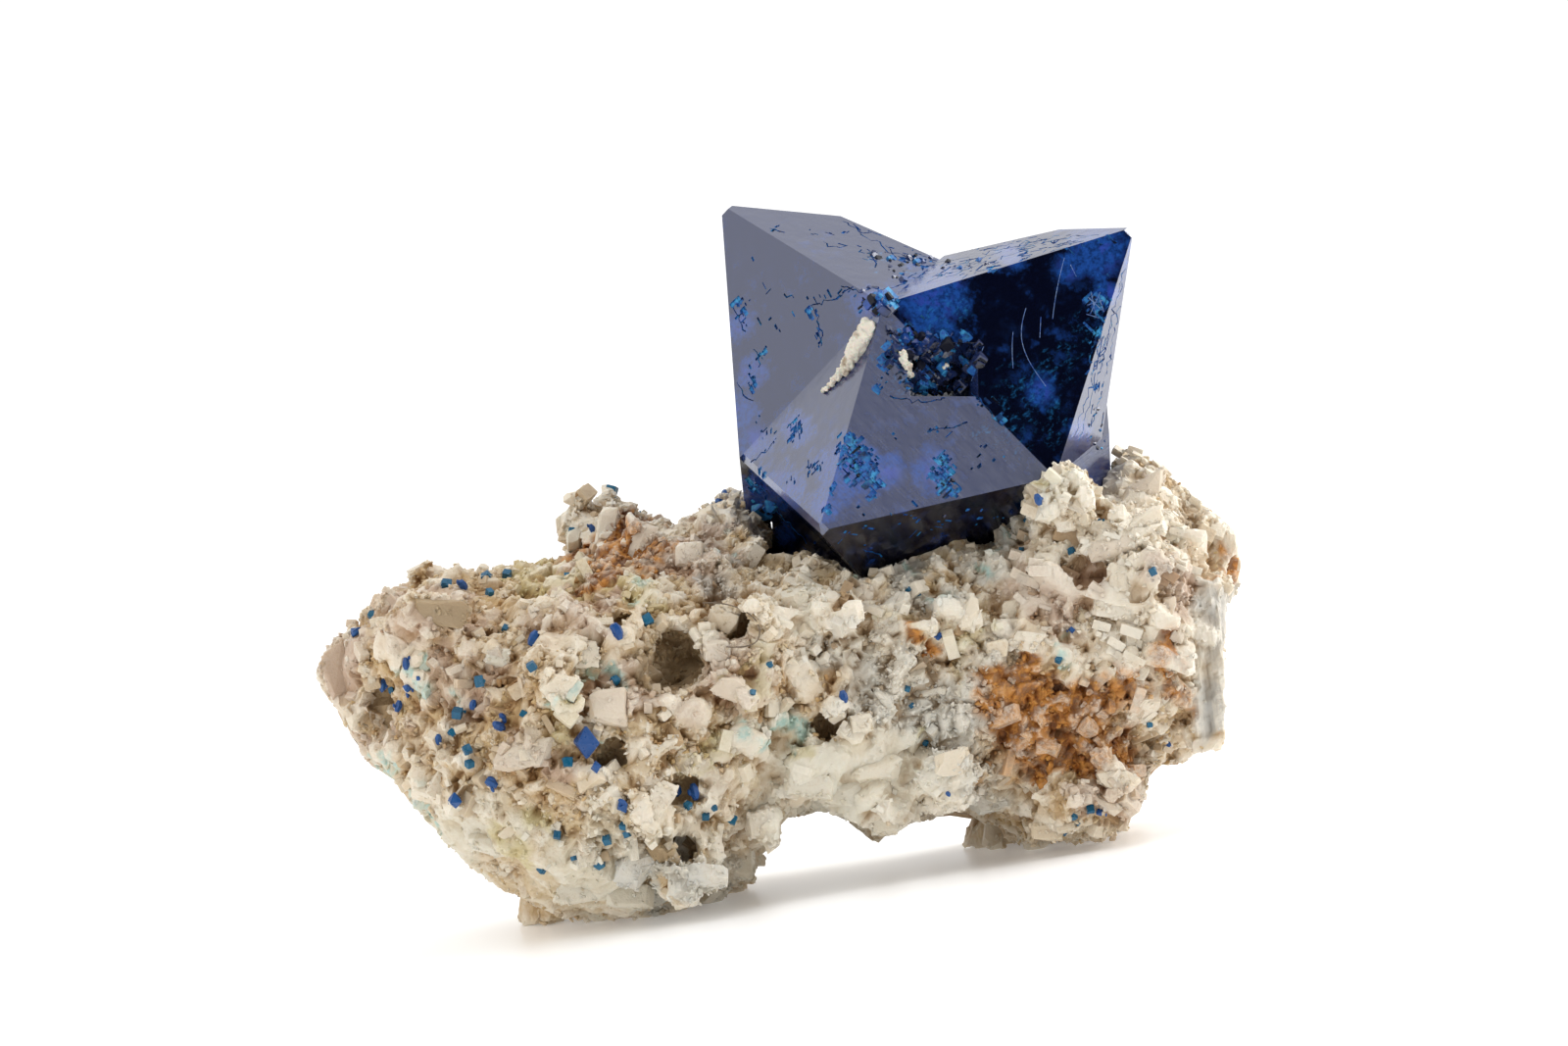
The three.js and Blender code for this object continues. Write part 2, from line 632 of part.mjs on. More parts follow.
const star = cluster();
const rock = matrixRock();
const starSurface = probe(star);
const rockSurface = probe(rock);
addPiece('cumengeite_cluster', star, 0x10245f, 0.8);
addPiece('matrix_rock', rock, 0xd8cfbb, 0.1);
for (const [name, sections] of Object.entries(WHITE_BITS)) {
  addPiece(name, whiteBit(sections, starSurface, star), 0xe9e4d8, 0.3);
}

const twoDigits = (index) => String(index + 1).padStart(2, '0');
const royalShape = new THREE.OctahedronGeometry(1);
const tealShape = new THREE.BoxGeometry(TEAL_EDGE, TEAL_EDGE, TEAL_EDGE);
ROYAL_CRYSTALS.forEach((place, index) => {
  const crystal = smallCrystal(royalShape, rockSurface, rock, place);
  addPiece(`royal_crystal_${twoDigits(index)}`, crystal, 0x1c4fa0, 0.65);
});
TEAL_CRYSTALS.forEach((place, index) => {
  const crystal = smallCrystal(tealShape, rockSurface, rock, place);
  addPiece(`teal_crystal_${twoDigits(index)}`, crystal, 0x1f7fa6, 0.65);
});

// The origin is under the middle of the specimen
const bounds = new THREE.Box3().setFromObject(specimen, true);
lean.position.x -= (bounds.min.x + bounds.max.x) / 2;
lean.position.y -= (bounds.min.y + bounds.max.y) / 2;

export default specimen;
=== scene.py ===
import math

import bmesh
import bpy
import numpy as np
from mathutils import Matrix, Vector
from mathutils.bvhtree import BVHTree
from mathutils.kdtree import KDTree


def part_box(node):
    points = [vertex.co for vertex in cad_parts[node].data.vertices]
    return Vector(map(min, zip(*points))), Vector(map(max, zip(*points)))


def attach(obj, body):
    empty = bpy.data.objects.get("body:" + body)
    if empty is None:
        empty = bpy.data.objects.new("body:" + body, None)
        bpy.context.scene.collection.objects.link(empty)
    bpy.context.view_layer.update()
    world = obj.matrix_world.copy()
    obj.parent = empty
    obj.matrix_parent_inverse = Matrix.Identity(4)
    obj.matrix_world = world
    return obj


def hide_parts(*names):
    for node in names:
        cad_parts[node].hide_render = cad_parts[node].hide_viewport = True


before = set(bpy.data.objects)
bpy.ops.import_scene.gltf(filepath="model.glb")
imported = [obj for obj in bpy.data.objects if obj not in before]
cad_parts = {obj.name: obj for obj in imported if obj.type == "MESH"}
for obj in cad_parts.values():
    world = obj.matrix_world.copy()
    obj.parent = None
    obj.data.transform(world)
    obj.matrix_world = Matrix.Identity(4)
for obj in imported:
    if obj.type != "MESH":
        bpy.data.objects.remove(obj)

bl_info = {
    "name": "Blue Star Crystals on Matrix",
    "version": (1, 0, 0),
    "blender": (4, 5, 0),
    "location": "View3D > Sidebar > Specimen",
    "description": "Dresses a lump of pale rock and its star of deep blue crystals",
    "category": "Add Mesh",
}

# Sizes are in metres. MM turns millimetres into metres.
MM = 0.001

# The front view: x to the right, y away from the viewer, z up, in millimetres from the picture's middle.
# AWAY points away from the viewer, and FAR_IN_FRONT is a depth in front of everything.
LEAN = Matrix.Rotation(math.radians(-4), 3, "X") @ Matrix.Rotation(math.radians(9), 3, "Y")
CLUSTER_TOP_CORNER = Vector((12.683, 10.798, 10.432)) * MM
VIEW_ORIGIN = Vector(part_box("cumengeite_cluster")[1]) - CLUSTER_TOP_CORNER
AWAY = LEAN @ Vector((0, 1, 0))
FAR_IN_FRONT = -30.0
PICTURE_MIDDLE = (800.0, 533.5)
MM_PER_PIXEL = 0.0322

# The big crystals: their shared centre in the front view, and the ways of three of their arms
STAR_CENTRE = (5.27, 1.5, 3.10)
STAR_ARMS = np.array([
    (-0.7032, 0.0589, 0.7086),
    (-0.3969, -0.8594, -0.3224),
    (0.59, -0.5079, 0.6277),
])

# Colour zones of the rock: pixel of the middle, and the two reaches in pixels
ZONES = {
    "rust": [
        (1050, 735, 48, 42), (1105, 712, 55, 26), (1045, 690, 42, 12), (1110, 758, 50, 26),
        (1190, 700, 13, 34), (1068, 782, 34, 12), (640, 552, 34, 26), (612, 578, 34, 14),
        (676, 566, 10, 14), (1257, 575, 9, 16), (945, 640, 26, 8), (1200, 660, 12, 20),
    ],
    "grey": [
        (955, 720, 58, 62), (900, 690, 42, 48), (990, 795, 34, 24),
        (735, 582, 26, 14), (700, 893, 56, 26), (860, 655, 30, 16), (930, 600, 40, 26),
        (1020, 560, 26, 28), (1010, 660, 26, 26),
    ],
    "pink": [
        (440, 632, 52, 34), (346, 668, 30, 46), (745, 692, 36, 36), (380, 750, 16, 40), (720, 570, 40, 30),
        (1100, 610, 30, 20), (1065, 600, 40, 34), (540, 765, 34, 18), (655, 700, 36, 30),
        (1132, 812, 34, 28), (648, 550, 20, 20), (590, 620, 40, 20), (1195, 590, 22, 24),
        (480, 700, 40, 30),
    ],
    "green": [
        (820, 620, 26, 26), (860, 790, 100, 44), (790, 745, 44, 20), (640, 872, 92, 46),
        (830, 745, 26, 14), (800, 748, 14, 10), (1080, 500, 30, 26), (470, 850, 60, 40),
    ],
    # The broad tan spots at (480, 710) and (560, 770) darken the left lobe: painted shade.
    "tan": [
        (500, 640, 90, 60), (520, 600, 80, 30), (480, 710, 90, 60), (560, 770, 60, 40), (420, 660, 50, 60),
        (402, 720, 26, 60), (430, 770, 34, 40), (1100, 832, 70, 20), (1165, 640, 44, 40),
        (480, 575, 70, 14), (640, 640, 40, 26), (770, 690, 18, 40), (1060, 660, 60, 24),
        (600, 600, 60, 22), (1010, 760, 20, 20),
    ],
    "teal": [
        (798, 746, 22, 12), (765, 737, 10, 8), (622, 690, 20, 12), (560, 706, 10, 8), (877, 566, 6, 6),
        (650, 612, 8, 8), (945, 600, 16, 8), (1010, 560, 7, 6), (740, 560, 6, 6), (625, 772, 8, 6),
        (404, 790, 8, 30), (430, 836, 10, 22), (1100, 650, 8, 8), (1093, 640, 6, 10), (435, 690, 16, 10),
    ],
    "yellow": [
        (722, 762, 30, 12), (930, 636, 44, 8), (700, 790, 16, 10), (580, 722, 20, 22), (540, 850, 22, 18),
        (822, 762, 20, 8), (760, 690, 14, 24), (1080, 486, 24, 8), (990, 650, 14, 20), (640, 600, 30, 20),
        (560, 590, 30, 16), (930, 766, 10, 8),
    ],
    "hollow": [
        (392, 722, 16, 26), (682, 672, 34, 30), (755, 636, 20, 12), (700, 802, 18, 12),
        (690, 862, 20, 12), (842, 735, 16, 9), (632, 630, 12, 9), (610, 652, 9, 9),
        (625, 765, 14, 10), (940, 762, 12, 8), (805, 560, 30, 14),
    ],
    # The pale spots at (1130, 560), (1090, 500) and (620, 530) brighten the right blocks and the knob:
    # painted light; the rest are whiter crystals.
    "pale": [
        (1130, 560, 90, 70), (650, 538, 44, 34), (620, 530, 44, 34), (1150, 620, 60, 50),
        (955, 720, 60, 60), (900, 795, 110, 44), (1090, 500, 50, 40), (830, 620, 44, 30),
        (1210, 660, 16, 70), (730, 560, 34, 26), (960, 620, 50, 20),
    ],
    "smooth": [
        (860, 790, 100, 40), (785, 845, 14, 18), (600, 905, 90, 30), (560, 880, 60, 30),
        (440, 632, 40, 22), (480, 850, 50, 40), (820, 620, 18, 18), (340, 670, 16, 30),
    ],
    "druse": [
        (955, 720, 70, 70), (715, 566, 50, 34), (700, 893, 60, 26), (930, 600, 44, 30),
        (600, 800, 50, 30), (680, 760, 50, 40),
    ],
}

# Clouds and etched places in the big crystals: pixel of the middle and reach in pixels
ROYAL_PATCHES = [
    (950, 308, 34), (965, 290, 20), (1118, 258, 30), (935, 340, 16), (1128, 300, 12), (1090, 275, 16),
    (885, 312, 16), (862, 480, 30), (952, 480, 20), (755, 330, 14), (775, 505, 22), (1100, 440, 12),
    (800, 500, 22), (905, 482, 16), (1060, 400, 14), (840, 515, 16), (752, 420, 20), (812, 437, 16),
    (770, 500, 14), (800, 545, 10), (1030, 262, 14), (768, 380, 16), (770, 450, 18),
]
WISPY_PATCHES = [
    (1045, 408, 28), (1030, 440, 20), (1080, 372, 18), (1072, 430, 18), (950, 330, 16), (975, 318, 14),
    (1105, 330, 14), (1020, 262, 8), (895, 265, 12), (930, 275, 12), (1000, 440, 10), (915, 380, 22),
]
ETCHED_PATCHES = [
    (874, 466, 14), (882, 482, 11), (866, 450, 8), (893, 494, 7), (856, 462, 7), (962, 474, 8),
    (960, 490, 9), (970, 502, 7), (952, 484, 6), (812, 437, 7), (806, 446, 5), (830, 477, 6),
    (758, 318, 5), (752, 308, 4), (779, 360, 4), (768, 392, 5), (985, 345, 6), (768, 495, 8),
    (778, 482, 7), (1114, 310, 8), (905, 366, 12), (925, 345, 12), (950, 372, 12), (905, 310, 7),
    (940, 268, 7), (828, 318, 5), (1042, 262, 7), (848, 500, 4), (1118, 392, 6), (888, 505, 5),
    (1010, 275, 6), (895, 398, 5), (1020, 430, 4), (930, 262, 7), (843, 520, 4),
]

# Etched places: pixel of the middle, the two reaches in pixels, how many pits, the longest in millimetres
ETCHED = [
    (791, 234, 7, 3, 7, 0.2), (830, 238, 6, 3, 3, 0.2), (850, 240, 22, 8, 6, 0.2),
    (890, 262, 16, 8, 12, 0.2), (930, 262, 18, 10, 18, 0.2), (759, 320, 5, 8, 8, 0.16),
    (778, 360, 4, 8, 6, 0.16), (768, 390, 6, 12, 8, 0.16), (848, 302, 24, 5, 12, 0.2),
    (833, 338, 4, 16, 9, 0.16), (814, 438, 8, 10, 12, 0.2), (830, 477, 7, 7, 10, 0.2),
    (780, 442, 14, 18, 12, 0.16), (808, 488, 6, 5, 5, 0.16), (775, 494, 5, 8, 6, 0.2),
    (872, 470, 14, 16, 40, 0.3), (963, 484, 8, 16, 30, 0.3), (908, 447, 4, 3, 2, 0.12),
    (960, 440, 16, 4, 6, 0.24), (1000, 412, 10, 6, 6, 0.2), (1115, 312, 8, 7, 10, 0.16),
    (985, 270, 30, 5, 34, 0.4), (1060, 250, 40, 6, 44, 0.5), (925, 365, 24, 28, 20, 0.2),
    (1120, 350, 8, 60, 50, 0.45), (965, 280, 30, 5, 14, 0.3), (1000, 470, 24, 20, 8, 0.2),
    (900, 520, 40, 12, 8, 0.2), (790, 300, 24, 40, 8, 0.2), (1112, 400, 6, 40, 14, 0.3),
    (870, 545, 20, 10, 10, 0.2), (950, 540, 40, 8, 10, 0.3),
]

# Ragged cracks in the big crystals, as the pixels that each runs through
CRACKS = [
    [(853, 215), (867, 229), (878, 236), (904, 238)],
    [(871, 227), (881, 240), (894, 245), (906, 259), (925, 262)], [(885, 254), (891, 260), (893, 271)],
    [(904, 250), (917, 267), (928, 275)], [(840, 246), (850, 252), (862, 252)],
    [(858, 293), (876, 299), (896, 296), (914, 296), (924, 288), (937, 277)],
    [(826, 313), (853, 306), (870, 293)], [(828, 312), (833, 323), (837, 336), (838, 354)],
    [(748, 312), (754, 327), (761, 338)], [(769, 356), (774, 364), (776, 374)],
    [(752, 390), (760, 404), (768, 408)], [(766, 472), (780, 461), (790, 452)],
    [(907, 405), (924, 409), (946, 411), (968, 404)], [(945, 442), (964, 437), (986, 431)],
    [(800, 300), (812, 306)], [(1002, 259), (1016, 256), (1030, 251)],
    [(1040, 250), (1056, 246), (1078, 243)], [(1020, 266), (1040, 258)],
    [(975, 281), (990, 276), (1004, 268)], [(1127, 300), (1122, 330), (1117, 362)],
    [(1118, 330), (1110, 372)], [(990, 402), (1004, 416), (1016, 432)],
    [(776, 500), (800, 530), (822, 552)], [(880, 560), (900, 566)],
    [(1094, 446), (1101, 424), (1108, 402), (1115, 380), (1122, 358), (1129, 336), (1136, 314), (1142, 292)],
    [(1104, 430), (1110, 410), (1118, 388), (1124, 366), (1130, 344)],
    [(1126, 384), (1131, 360), (1136, 336)], [(1137, 332), (1141, 312)],
    [(1112, 436), (1118, 418), (1122, 404)], [(1099, 450), (1106, 434)],
    [(1121, 378), (1127, 354), (1133, 330)], [(1139, 300), (1145, 276)],
    [(945, 290), (962, 281), (980, 276)], [(985, 272), (1006, 262), (1022, 258)],
    [(1030, 256), (1060, 247)], [(1062, 250), (1096, 243), (1120, 242)], [(1000, 250), (1022, 246)],
    [(1004, 256), (1030, 250), (1050, 247)], [(950, 284), (970, 274), (996, 264)],
]

# Small blue crystals on the star: pixel of the middle, the two reaches in pixels, how many, largest in mm
CROWDED = [
    (925, 362, 22, 26, 60, 0.26), (962, 384, 18, 14, 34, 0.26), (985, 372, 12, 20, 34, 0.3),
    (893, 308, 16, 14, 26, 0.26), (958, 350, 20, 10, 24, 0.3), (947, 398, 22, 5, 50, 0.22),
    (915, 278, 10, 8, 12, 0.2), (935, 268, 16, 8, 16, 0.2), (900, 262, 14, 6, 10, 0.16),
    (985, 270, 26, 5, 12, 0.14), (775, 500, 8, 14, 12, 0.18), (865, 470, 14, 16, 16, 0.1),
    (784, 524, 8, 8, 12, 0.4), (963, 484, 8, 14, 12, 0.1), (1000, 525, 40, 6, 12, 0.12),
    (1116, 440, 10, 24, 10, 0.12),
]

# The dull blue block in the notch of the star: pixel of its middle and reach in pixels
NOTCH_BLOCK = (906, 300, 13)

# Blue crystals too fine for a solid of their own: pixel of the middle, size in pixels, teal or not
TINY_CRYSTALS = [
    (502, 605, 8, True), (643, 846, 7, True), (556, 882, 7, True), (629, 692, 9, True),
    (1090, 562, 7, True), (926, 601, 5, True), (935, 604, 6, True), (924, 701, 6, True),
    (929, 718, 6, True), (768, 704, 6, True), (966, 806, 7, False), (1169, 737, 6, True),
    (785, 676, 6, True), (942, 754, 6, True), (1098, 836, 7, True), (520, 640, 7, True),
    (433, 690, 8, False), (404, 703, 7, True), (640, 838, 7, True), (590, 870, 6, True),
    (420, 706, 8, False), (466, 743, 6, True), (1040, 560, 5, True), (730, 820, 6, True),
]

# The lint fibre, as the pixels that it runs through
LINT_ROUTE = [(718, 614), (738, 613), (760, 620), (773, 631), (778, 645), (770, 660), (742, 658)]

# Thin pale lines of healed cracks in the right crystal, as the pixels that each runs through
HEALED_CRACKS = [
    [(1045, 316), (1039, 335), (1040, 355), (1050, 375), (1065, 395)],
    [(1032, 340), (1030, 355), (1032, 377)], [(1084, 265), (1075, 297), (1072, 327)],
    [(1002, 355), (996, 372), (990, 390)], [(1090, 272), (1096, 284)], [(1060, 325), (1059, 346)],
    # The short crossing lines round (1115, 312) make a whitish speck; their pale colour is partly a painted
    # glint.
    [(1108, 305), (1122, 318)], [(1120, 300), (1110, 322)], [(1107, 313), (1123, 308)],
    [(1111, 300), (1116, 325)], [(1118, 303), (1124, 320)], [(1106, 322), (1119, 326)],
]

# The rock's outline in the picture, all the way round; behind the big crystals it runs high above them
OUTLINE = [
    (327, 689), (338, 660), (358, 633), (380, 612), (402, 597), (420, 585), (440, 575), (478, 573),
    (500, 579), (521, 575), (545, 569), (570, 556), (572, 530), (575, 508), (596, 498), (616, 498),
    (628, 508), (657, 518), (680, 536), (703, 531), (728, 513), (754, 493), (780, 470), (790, 300),
    (1110, 300), (1132, 463), (1145, 455), (1160, 460), (1183, 478), (1204, 499), (1214, 509),
    (1239, 529), (1254, 545), (1261, 573), (1261, 593), (1257, 608), (1247, 614), (1245, 644),
    (1243, 695), (1243, 746), (1239, 760), (1219, 764), (1203, 774), (1168, 777), (1165, 792),
    (1162, 817), (1147, 828), (1145, 848), (1127, 852), (1086, 861), (1056, 858), (1030, 848),
    (1020, 838), (1004, 835), (989, 825), (969, 820), (948, 833), (928, 830), (910, 846), (892, 853),
    (869, 835), (856, 825), (831, 823), (811, 829), (795, 828), (792, 837), (792, 855), (779, 860),
    (777, 888), (771, 898), (728, 913), (698, 915), (685, 926), (657, 934), (636, 942), (575, 929),
    (534, 911), (499, 893), (473, 878), (458, 863), (448, 842), (422, 812), (407, 791), (376, 771),
    (366, 750), (351, 725), (333, 699),
]

# The lower edge of the big crystals in the picture, from left to right; no rock in front rises above it
SHOWN_EDGE = [
    (757, 523), (782, 530), (792, 550), (800, 562), (823, 564), (850, 578), (878, 593), (904, 581),
    (950, 561), (996, 541), (1023, 518), (1048, 492), (1058, 468), (1083, 468),
]

# Big pale crystals and smooth lumps: pixel of the middle, the two reaches in pixels, tilt in degrees, kind
MARKED_CRYSTALS = [
    (455, 623, 34, 16, 8, "brown"), (350, 684, 20, 30, -20, "pink"), (575, 697, 20, 14, 10, "white"),
    (626, 720, 24, 20, 0, "rosy"), (540, 766, 34, 14, -10, "rosy"), (652, 552, 15, 24, 35, "rosy"),
    (618, 544, 7, 8, 20, "white"), (733, 662, 16, 13, 0, "rosy"), (744, 697, 18, 15, 20, "rosy"),
    (738, 630, 18, 12, 30, "cream"), (776, 836, 16, 16, 0, "white"), (654, 868, 20, 34, 30, "grey"),
    (672, 817, 13, 28, 35, "white"), (646, 910, 28, 12, 0, "green"), (590, 903, 28, 16, -10, "green"),
    (514, 669, 15, 10, 10, "green"), (600, 669, 17, 18, 0, "white"), (560, 618, 14, 12, 20, "cream"),
    (697, 862, 14, 22, 10, "grey"), (723, 888, 22, 12, 0, "grey"), (759, 876, 14, 20, 0, "green"),
    (500, 850, 22, 16, 20, "green"), (455, 800, 14, 20, 30, "cream"), (620, 540, 12, 24, 10, "white"),
    (586, 540, 10, 22, 5, "green"), (590, 508, 16, 8, 0, "cream"), (706, 566, 18, 14, 0, "rosy"),
    (811, 619, 17, 22, 0, "green"), (879, 608, 13, 13, 0, "rosy"), (987, 624, 9, 19, 15, "white"),
    (1030, 624, 11, 13, 0, "white"), (1158, 534, 30, 11, -30, "white"), (1132, 560, 26, 11, -15, "rosy"),
    (1188, 550, 24, 9, -22, "green"), (1112, 486, 28, 13, -20, "cream"), (1163, 500, 34, 11, -32, "rosy"),
    (1137, 593, 11, 20, 0, "white"), (1132, 619, 22, 13, 5, "white"), (1106, 630, 13, 9, 30, "cream"),
    (1045, 652, 21, 11, 8, "white"), (1015, 660, 14, 10, 0, "cream"), (1158, 684, 12, 9, 20, "white"),
    (1188, 619, 8, 13, 10, "rosy"), (1198, 644, 9, 11, 0, "rosy"), (1168, 644, 11, 13, 15, "white"),
    (948, 705, 20, 5, -10, "white"), (877, 736, 13, 11, 0, "white"), (969, 774, 20, 14, -15, "white"),
    (890, 777, 30, 18, 0, "green"), (826, 797, 28, 15, 10, "green"), (902, 836, 18, 13, 0, "green"),
    (1010, 812, 24, 15, -10, "grey"), (1137, 792, 22, 14, 30, "cream"), (1122, 812, 24, 9, 35, "rosy"),
    (1066, 846, 18, 10, 0, "cream"), (860, 806, 26, 14, 0, "green"), (1095, 530, 14, 10, 10, "white"),
]

# What each kind of marked crystal takes from the rock's colours
KINDS = {
    "white": {"crystal": 0.9, "pale": 0.7},
    "rosy": {"crystal": 0.5, "pale": 0.7, "pink": 0.45},
    "cream": {"tan": 0.25, "pale": 0.4},
    "green": {"green": 1.0, "crystal": 0.5},
    "grey": {"grey": 1.0, "pale": 0.5},
    # The brown kind takes the seam and hollow colours as part of its own brown.
    "brown": {"pink": 1.0, "hollow": 1.15, "seam": 0.7},
    "pink": {"pink": 1.0, "hollow": 0.1},
}

# How far past the outline, in pixels, the filled rock, the marked crystals and the small grains may show
OUTLINE_SLACK = {"rock": 2.0, "marked": 3.0, "grains": 5.0}

# How far past the solid's box the rock may reach, and how much farther its crystals and grains may
BOX_SLACK = 0.15 * MM
GRAIN_SLACK = 0.08 * MM

# Between these heights above the ground the outline takes hold of the rock
FOOT_HEIGHTS = (0.1 * MM, 0.7 * MM)

# How ragged the edges of the colour zones are, in pixels
ZONE_WARP = 16.0

# In the front view the pale crystals stand in tilted rows right of this x, in front of this y, above this z
TILTED_ROWS = (7.5, 2.0, -4.5)

# How many places on the marked crystals are tried for a crumb
CRUMB_TRIES = 7000

# Etched slots for each square pixel of a patch, and how many places all over the star are tried for more
PITS_PER_REACH = 0.24
HIDDEN_PATCHES = 50

# Index of refraction of the big crystals, and of the darker copy of their finish that paints shade on their
# shaded faces
BRIGHT_GLOSS = 2.04
SHADED_GLOSS = 1.55

# How high a small blue crystal's middle stands above the rock, as a share of its reach
SEAT_LIFT = 0.32

# Between these pixel heights the white rod goes from its thick end to its thin one
ROD_TAPER = (340, 395)

# Distance between the surface points of the white bits, and the radii of the two kinds of thread
WHITE_STEP = 0.03 * MM
HEALED_RADIUS = 0.011 * MM
LINT_RADIUS = 0.022 * MM

# Half the width of the floor
FLOOR_HALF = 3.0

# The soft lights: name, place and target from the specimen's middle, size, and share of the key's power
LIGHTS = (
    ("key_light", (-0.16, -0.22, 0.34), (0.0, 0.0, 0.0), (0.25, 0.25), 1.0),
    ("side_light", (0.34, -0.05, 0.16), (0.0, 0.0, 0.0), (0.2, 0.25), 1.0),
    ("fill_light", (-0.30, -0.26, 0.05), (0.0, 0.0, 0.0), (0.3, 0.3), 0.72),
    ("back_light", (0.17, 0.07, 0.09), (0.06, 0.085, 0.0), (0.1, 0.1), 0.5),
)


def in_front_view(points):
    """Points of the row frame as millimetres of the front view."""
    return (np.asarray(points) - np.array(VIEW_ORIGIN)) @ np.array(LEAN) / MM


def from_front_view(x, y, z):
    """A point of the front view, in millimetres, as a point of the row frame."""
    return VIEW_ORIGIN + LEAN @ Vector((x, y, z)) * MM


def from_pixel(px, py, depth=0.0):
    """A pixel of the picture at a depth in millimetres, as a point of the row frame."""
    x = (px - PICTURE_MIDDLE[0]) * MM_PER_PIXEL
    z = (PICTURE_MIDDLE[1] - py) * MM_PER_PIXEL
    return from_front_view(x, depth, z)


def to_pixels(points):
    """Where points of the row frame show in the picture, as two arrays."""
    seen = in_front_view(points)
    return PICTURE_MIDDLE[0] + seen[:, 0] / MM_PER_PIXEL, PICTURE_MIDDLE[1] - seen[:, 2] / MM_PER_PIXEL


def ripple(points, wavelength, seed, waves=7):
    """A smooth random field between about -1 and 1, with swells of the given length."""
    rng = np.random.default_rng(seed)
    total = np.zeros(len(points))
    for _ in range(waves):
        way = rng.normal(size=3)
        way *= rng.uniform(0.7, 1.5) / (np.linalg.norm(way) * wavelength)
        total += np.sin(2 * math.pi * (points @ way) + rng.uniform(0, 2 * math.pi))
    return total / math.sqrt(waves)


def smooth_step(low, high, values):
    share = np.clip((values - low) / (high - low), 0, 1)
    return share * share * (3 - 2 * share)


def strongest_spot(px, py, spots):
    """How near each pixel is to the nearest of some spots, from 0 to 1."""
    strongest = np.zeros(len(px))
    for x, y, reach_x, reach_y in spots:
        distance = np.sqrt(((px - x) / reach_x) ** 2 + ((py - y) / reach_y) ** 2)
        strongest = np.maximum(strongest, 1 - smooth_step(0.65, 1.35, distance))
    return strongest


def zone_weights(points):
    """How strongly each point belongs to each colour zone, from 0 to 1, with ragged edges."""
    px, py = to_pixels(points)
    px = px + ZONE_WARP * ripple(points, 2.2 * MM, 3) + 0.4 * ZONE_WARP * ripple(points, 0.7 * MM, 4)
    py = py + ZONE_WARP * ripple(points, 2.2 * MM, 5) + 0.4 * ZONE_WARP * ripple(points, 0.7 * MM, 6)
    weights = {}
    for name, spots in ZONES.items():
        weights[name] = strongest_spot(px, py, spots)
    px, py = to_pixels(points)
    shifted = px + 0.4 * ZONE_WARP * ripple(points, 0.7 * MM, 9)
    weights["hollow"] = strongest_spot(shifted, py, ZONES["hollow"])
    py += 14 * ripple(points, 1.3 * MM, 7)
    px += 4 * ripple(points, 0.8 * MM, 8)
    above_foot = 1 - smooth_step(740, 760, py)
    weights["slab"] = smooth_step(1209, 1219, px) * smooth_step(588, 612, py) * above_foot
    return weights


def within_box(points, slack):
    """The points, kept to the solids' own box with a little slack, and on or above the ground."""
    low, high = (np.array(corner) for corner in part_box("matrix_rock"))
    low[2] = slack
    return np.clip(points, low - slack, high + slack)


def inside_outline(spots):
    """Which pixels lie inside the rock's outline."""
    inside = np.zeros(len(spots), dtype=bool)
    for (ax, ay), (bx, by) in zip(OUTLINE, OUTLINE[1:] + OUTLINE[:1]):
        if ay == by:
            continue
        crossed = (spots[:, 1] > ay) != (spots[:, 1] > by)
        inside ^= crossed & (spots[:, 0] < ax + (spots[:, 1] - ay) * (bx - ax) / (by - ay))
    return inside


def nearest_on_outline(spots):
    """For each pixel the nearest point of the rock's outline, and how far away it is."""
    nearest = np.zeros_like(spots)
    least = np.full(len(spots), np.inf)
    for start, end in zip(OUTLINE, OUTLINE[1:] + OUTLINE[:1]):
        start = np.array(start, dtype=float)
        way = np.array(end, dtype=float) - start
        share = np.clip((spots - start) @ way / (way @ way), 0, 1)
        met = start + share[:, None] * way
        distance = np.linalg.norm(spots - met, axis=1)
        closer = distance < least
        least[closer] = distance[closer]
        nearest[closer] = met[closer]
    return nearest, least


def kept_in_outline(points, slack):
    """The points, with those outside the rock's shown outline drawn back to it, save near the ground."""
    spots = np.stack(to_pixels(points), axis=1)
    outside = np.flatnonzero(~inside_outline(spots) & (points[:, 2] > FOOT_HEIGHTS[0]))
    nearest, distance = nearest_on_outline(spots[outside])
    slack = np.broadcast_to(slack, len(points))[outside]
    share = np.maximum(distance - slack, 0) / np.maximum(distance, 0.01)
    share *= smooth_step(*FOOT_HEIGHTS, points[outside, 2])
    shift = (nearest - spots[outside]) * share[:, None] * MM_PER_PIXEL * MM
    moved = points.copy()
    in_view = np.stack([shift[:, 0], np.zeros(len(shift)), -shift[:, 1]], axis=1)
    moved[outside] += in_view @ np.array(LEAN).T
    return moved


def new_piece(name, mesh):
    piece = bpy.data.objects.new(name, mesh)
    bpy.context.scene.collection.objects.link(piece)
    return piece


def settle(piece, slot, *nodes):
    """Ties a finished piece to the specimen's one body and hides the nodes that it stands for; slot is not
    used.
    """
    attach(piece, "root")
    if nodes:
        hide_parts(*nodes)


def coordinates(mesh):
    flat = np.empty(len(mesh.vertices) * 3, dtype=np.float32)
    mesh.vertices.foreach_get("co", flat)
    return flat.reshape(-1, 3).astype(float)


def normals_of(mesh):
    flat = np.empty(len(mesh.vertices) * 3, dtype=np.float32)
    mesh.vertices.foreach_get("normal", flat)
    return flat.reshape(-1, 3).astype(float)


def move_vertices(mesh, points):
    mesh.vertices.foreach_set("co", points.astype(np.float32).ravel())
    mesh.update()


def write_number(mesh, name, values):
    layer = mesh.attributes.new(name, "FLOAT", "POINT")
    layer.data.foreach_set("value", np.asarray(values, dtype=np.float32))


def read_number(mesh, name):
    values = np.empty(len(mesh.vertices), dtype=np.float32)
    mesh.attributes[name].data.foreach_get("value", values)
    return values


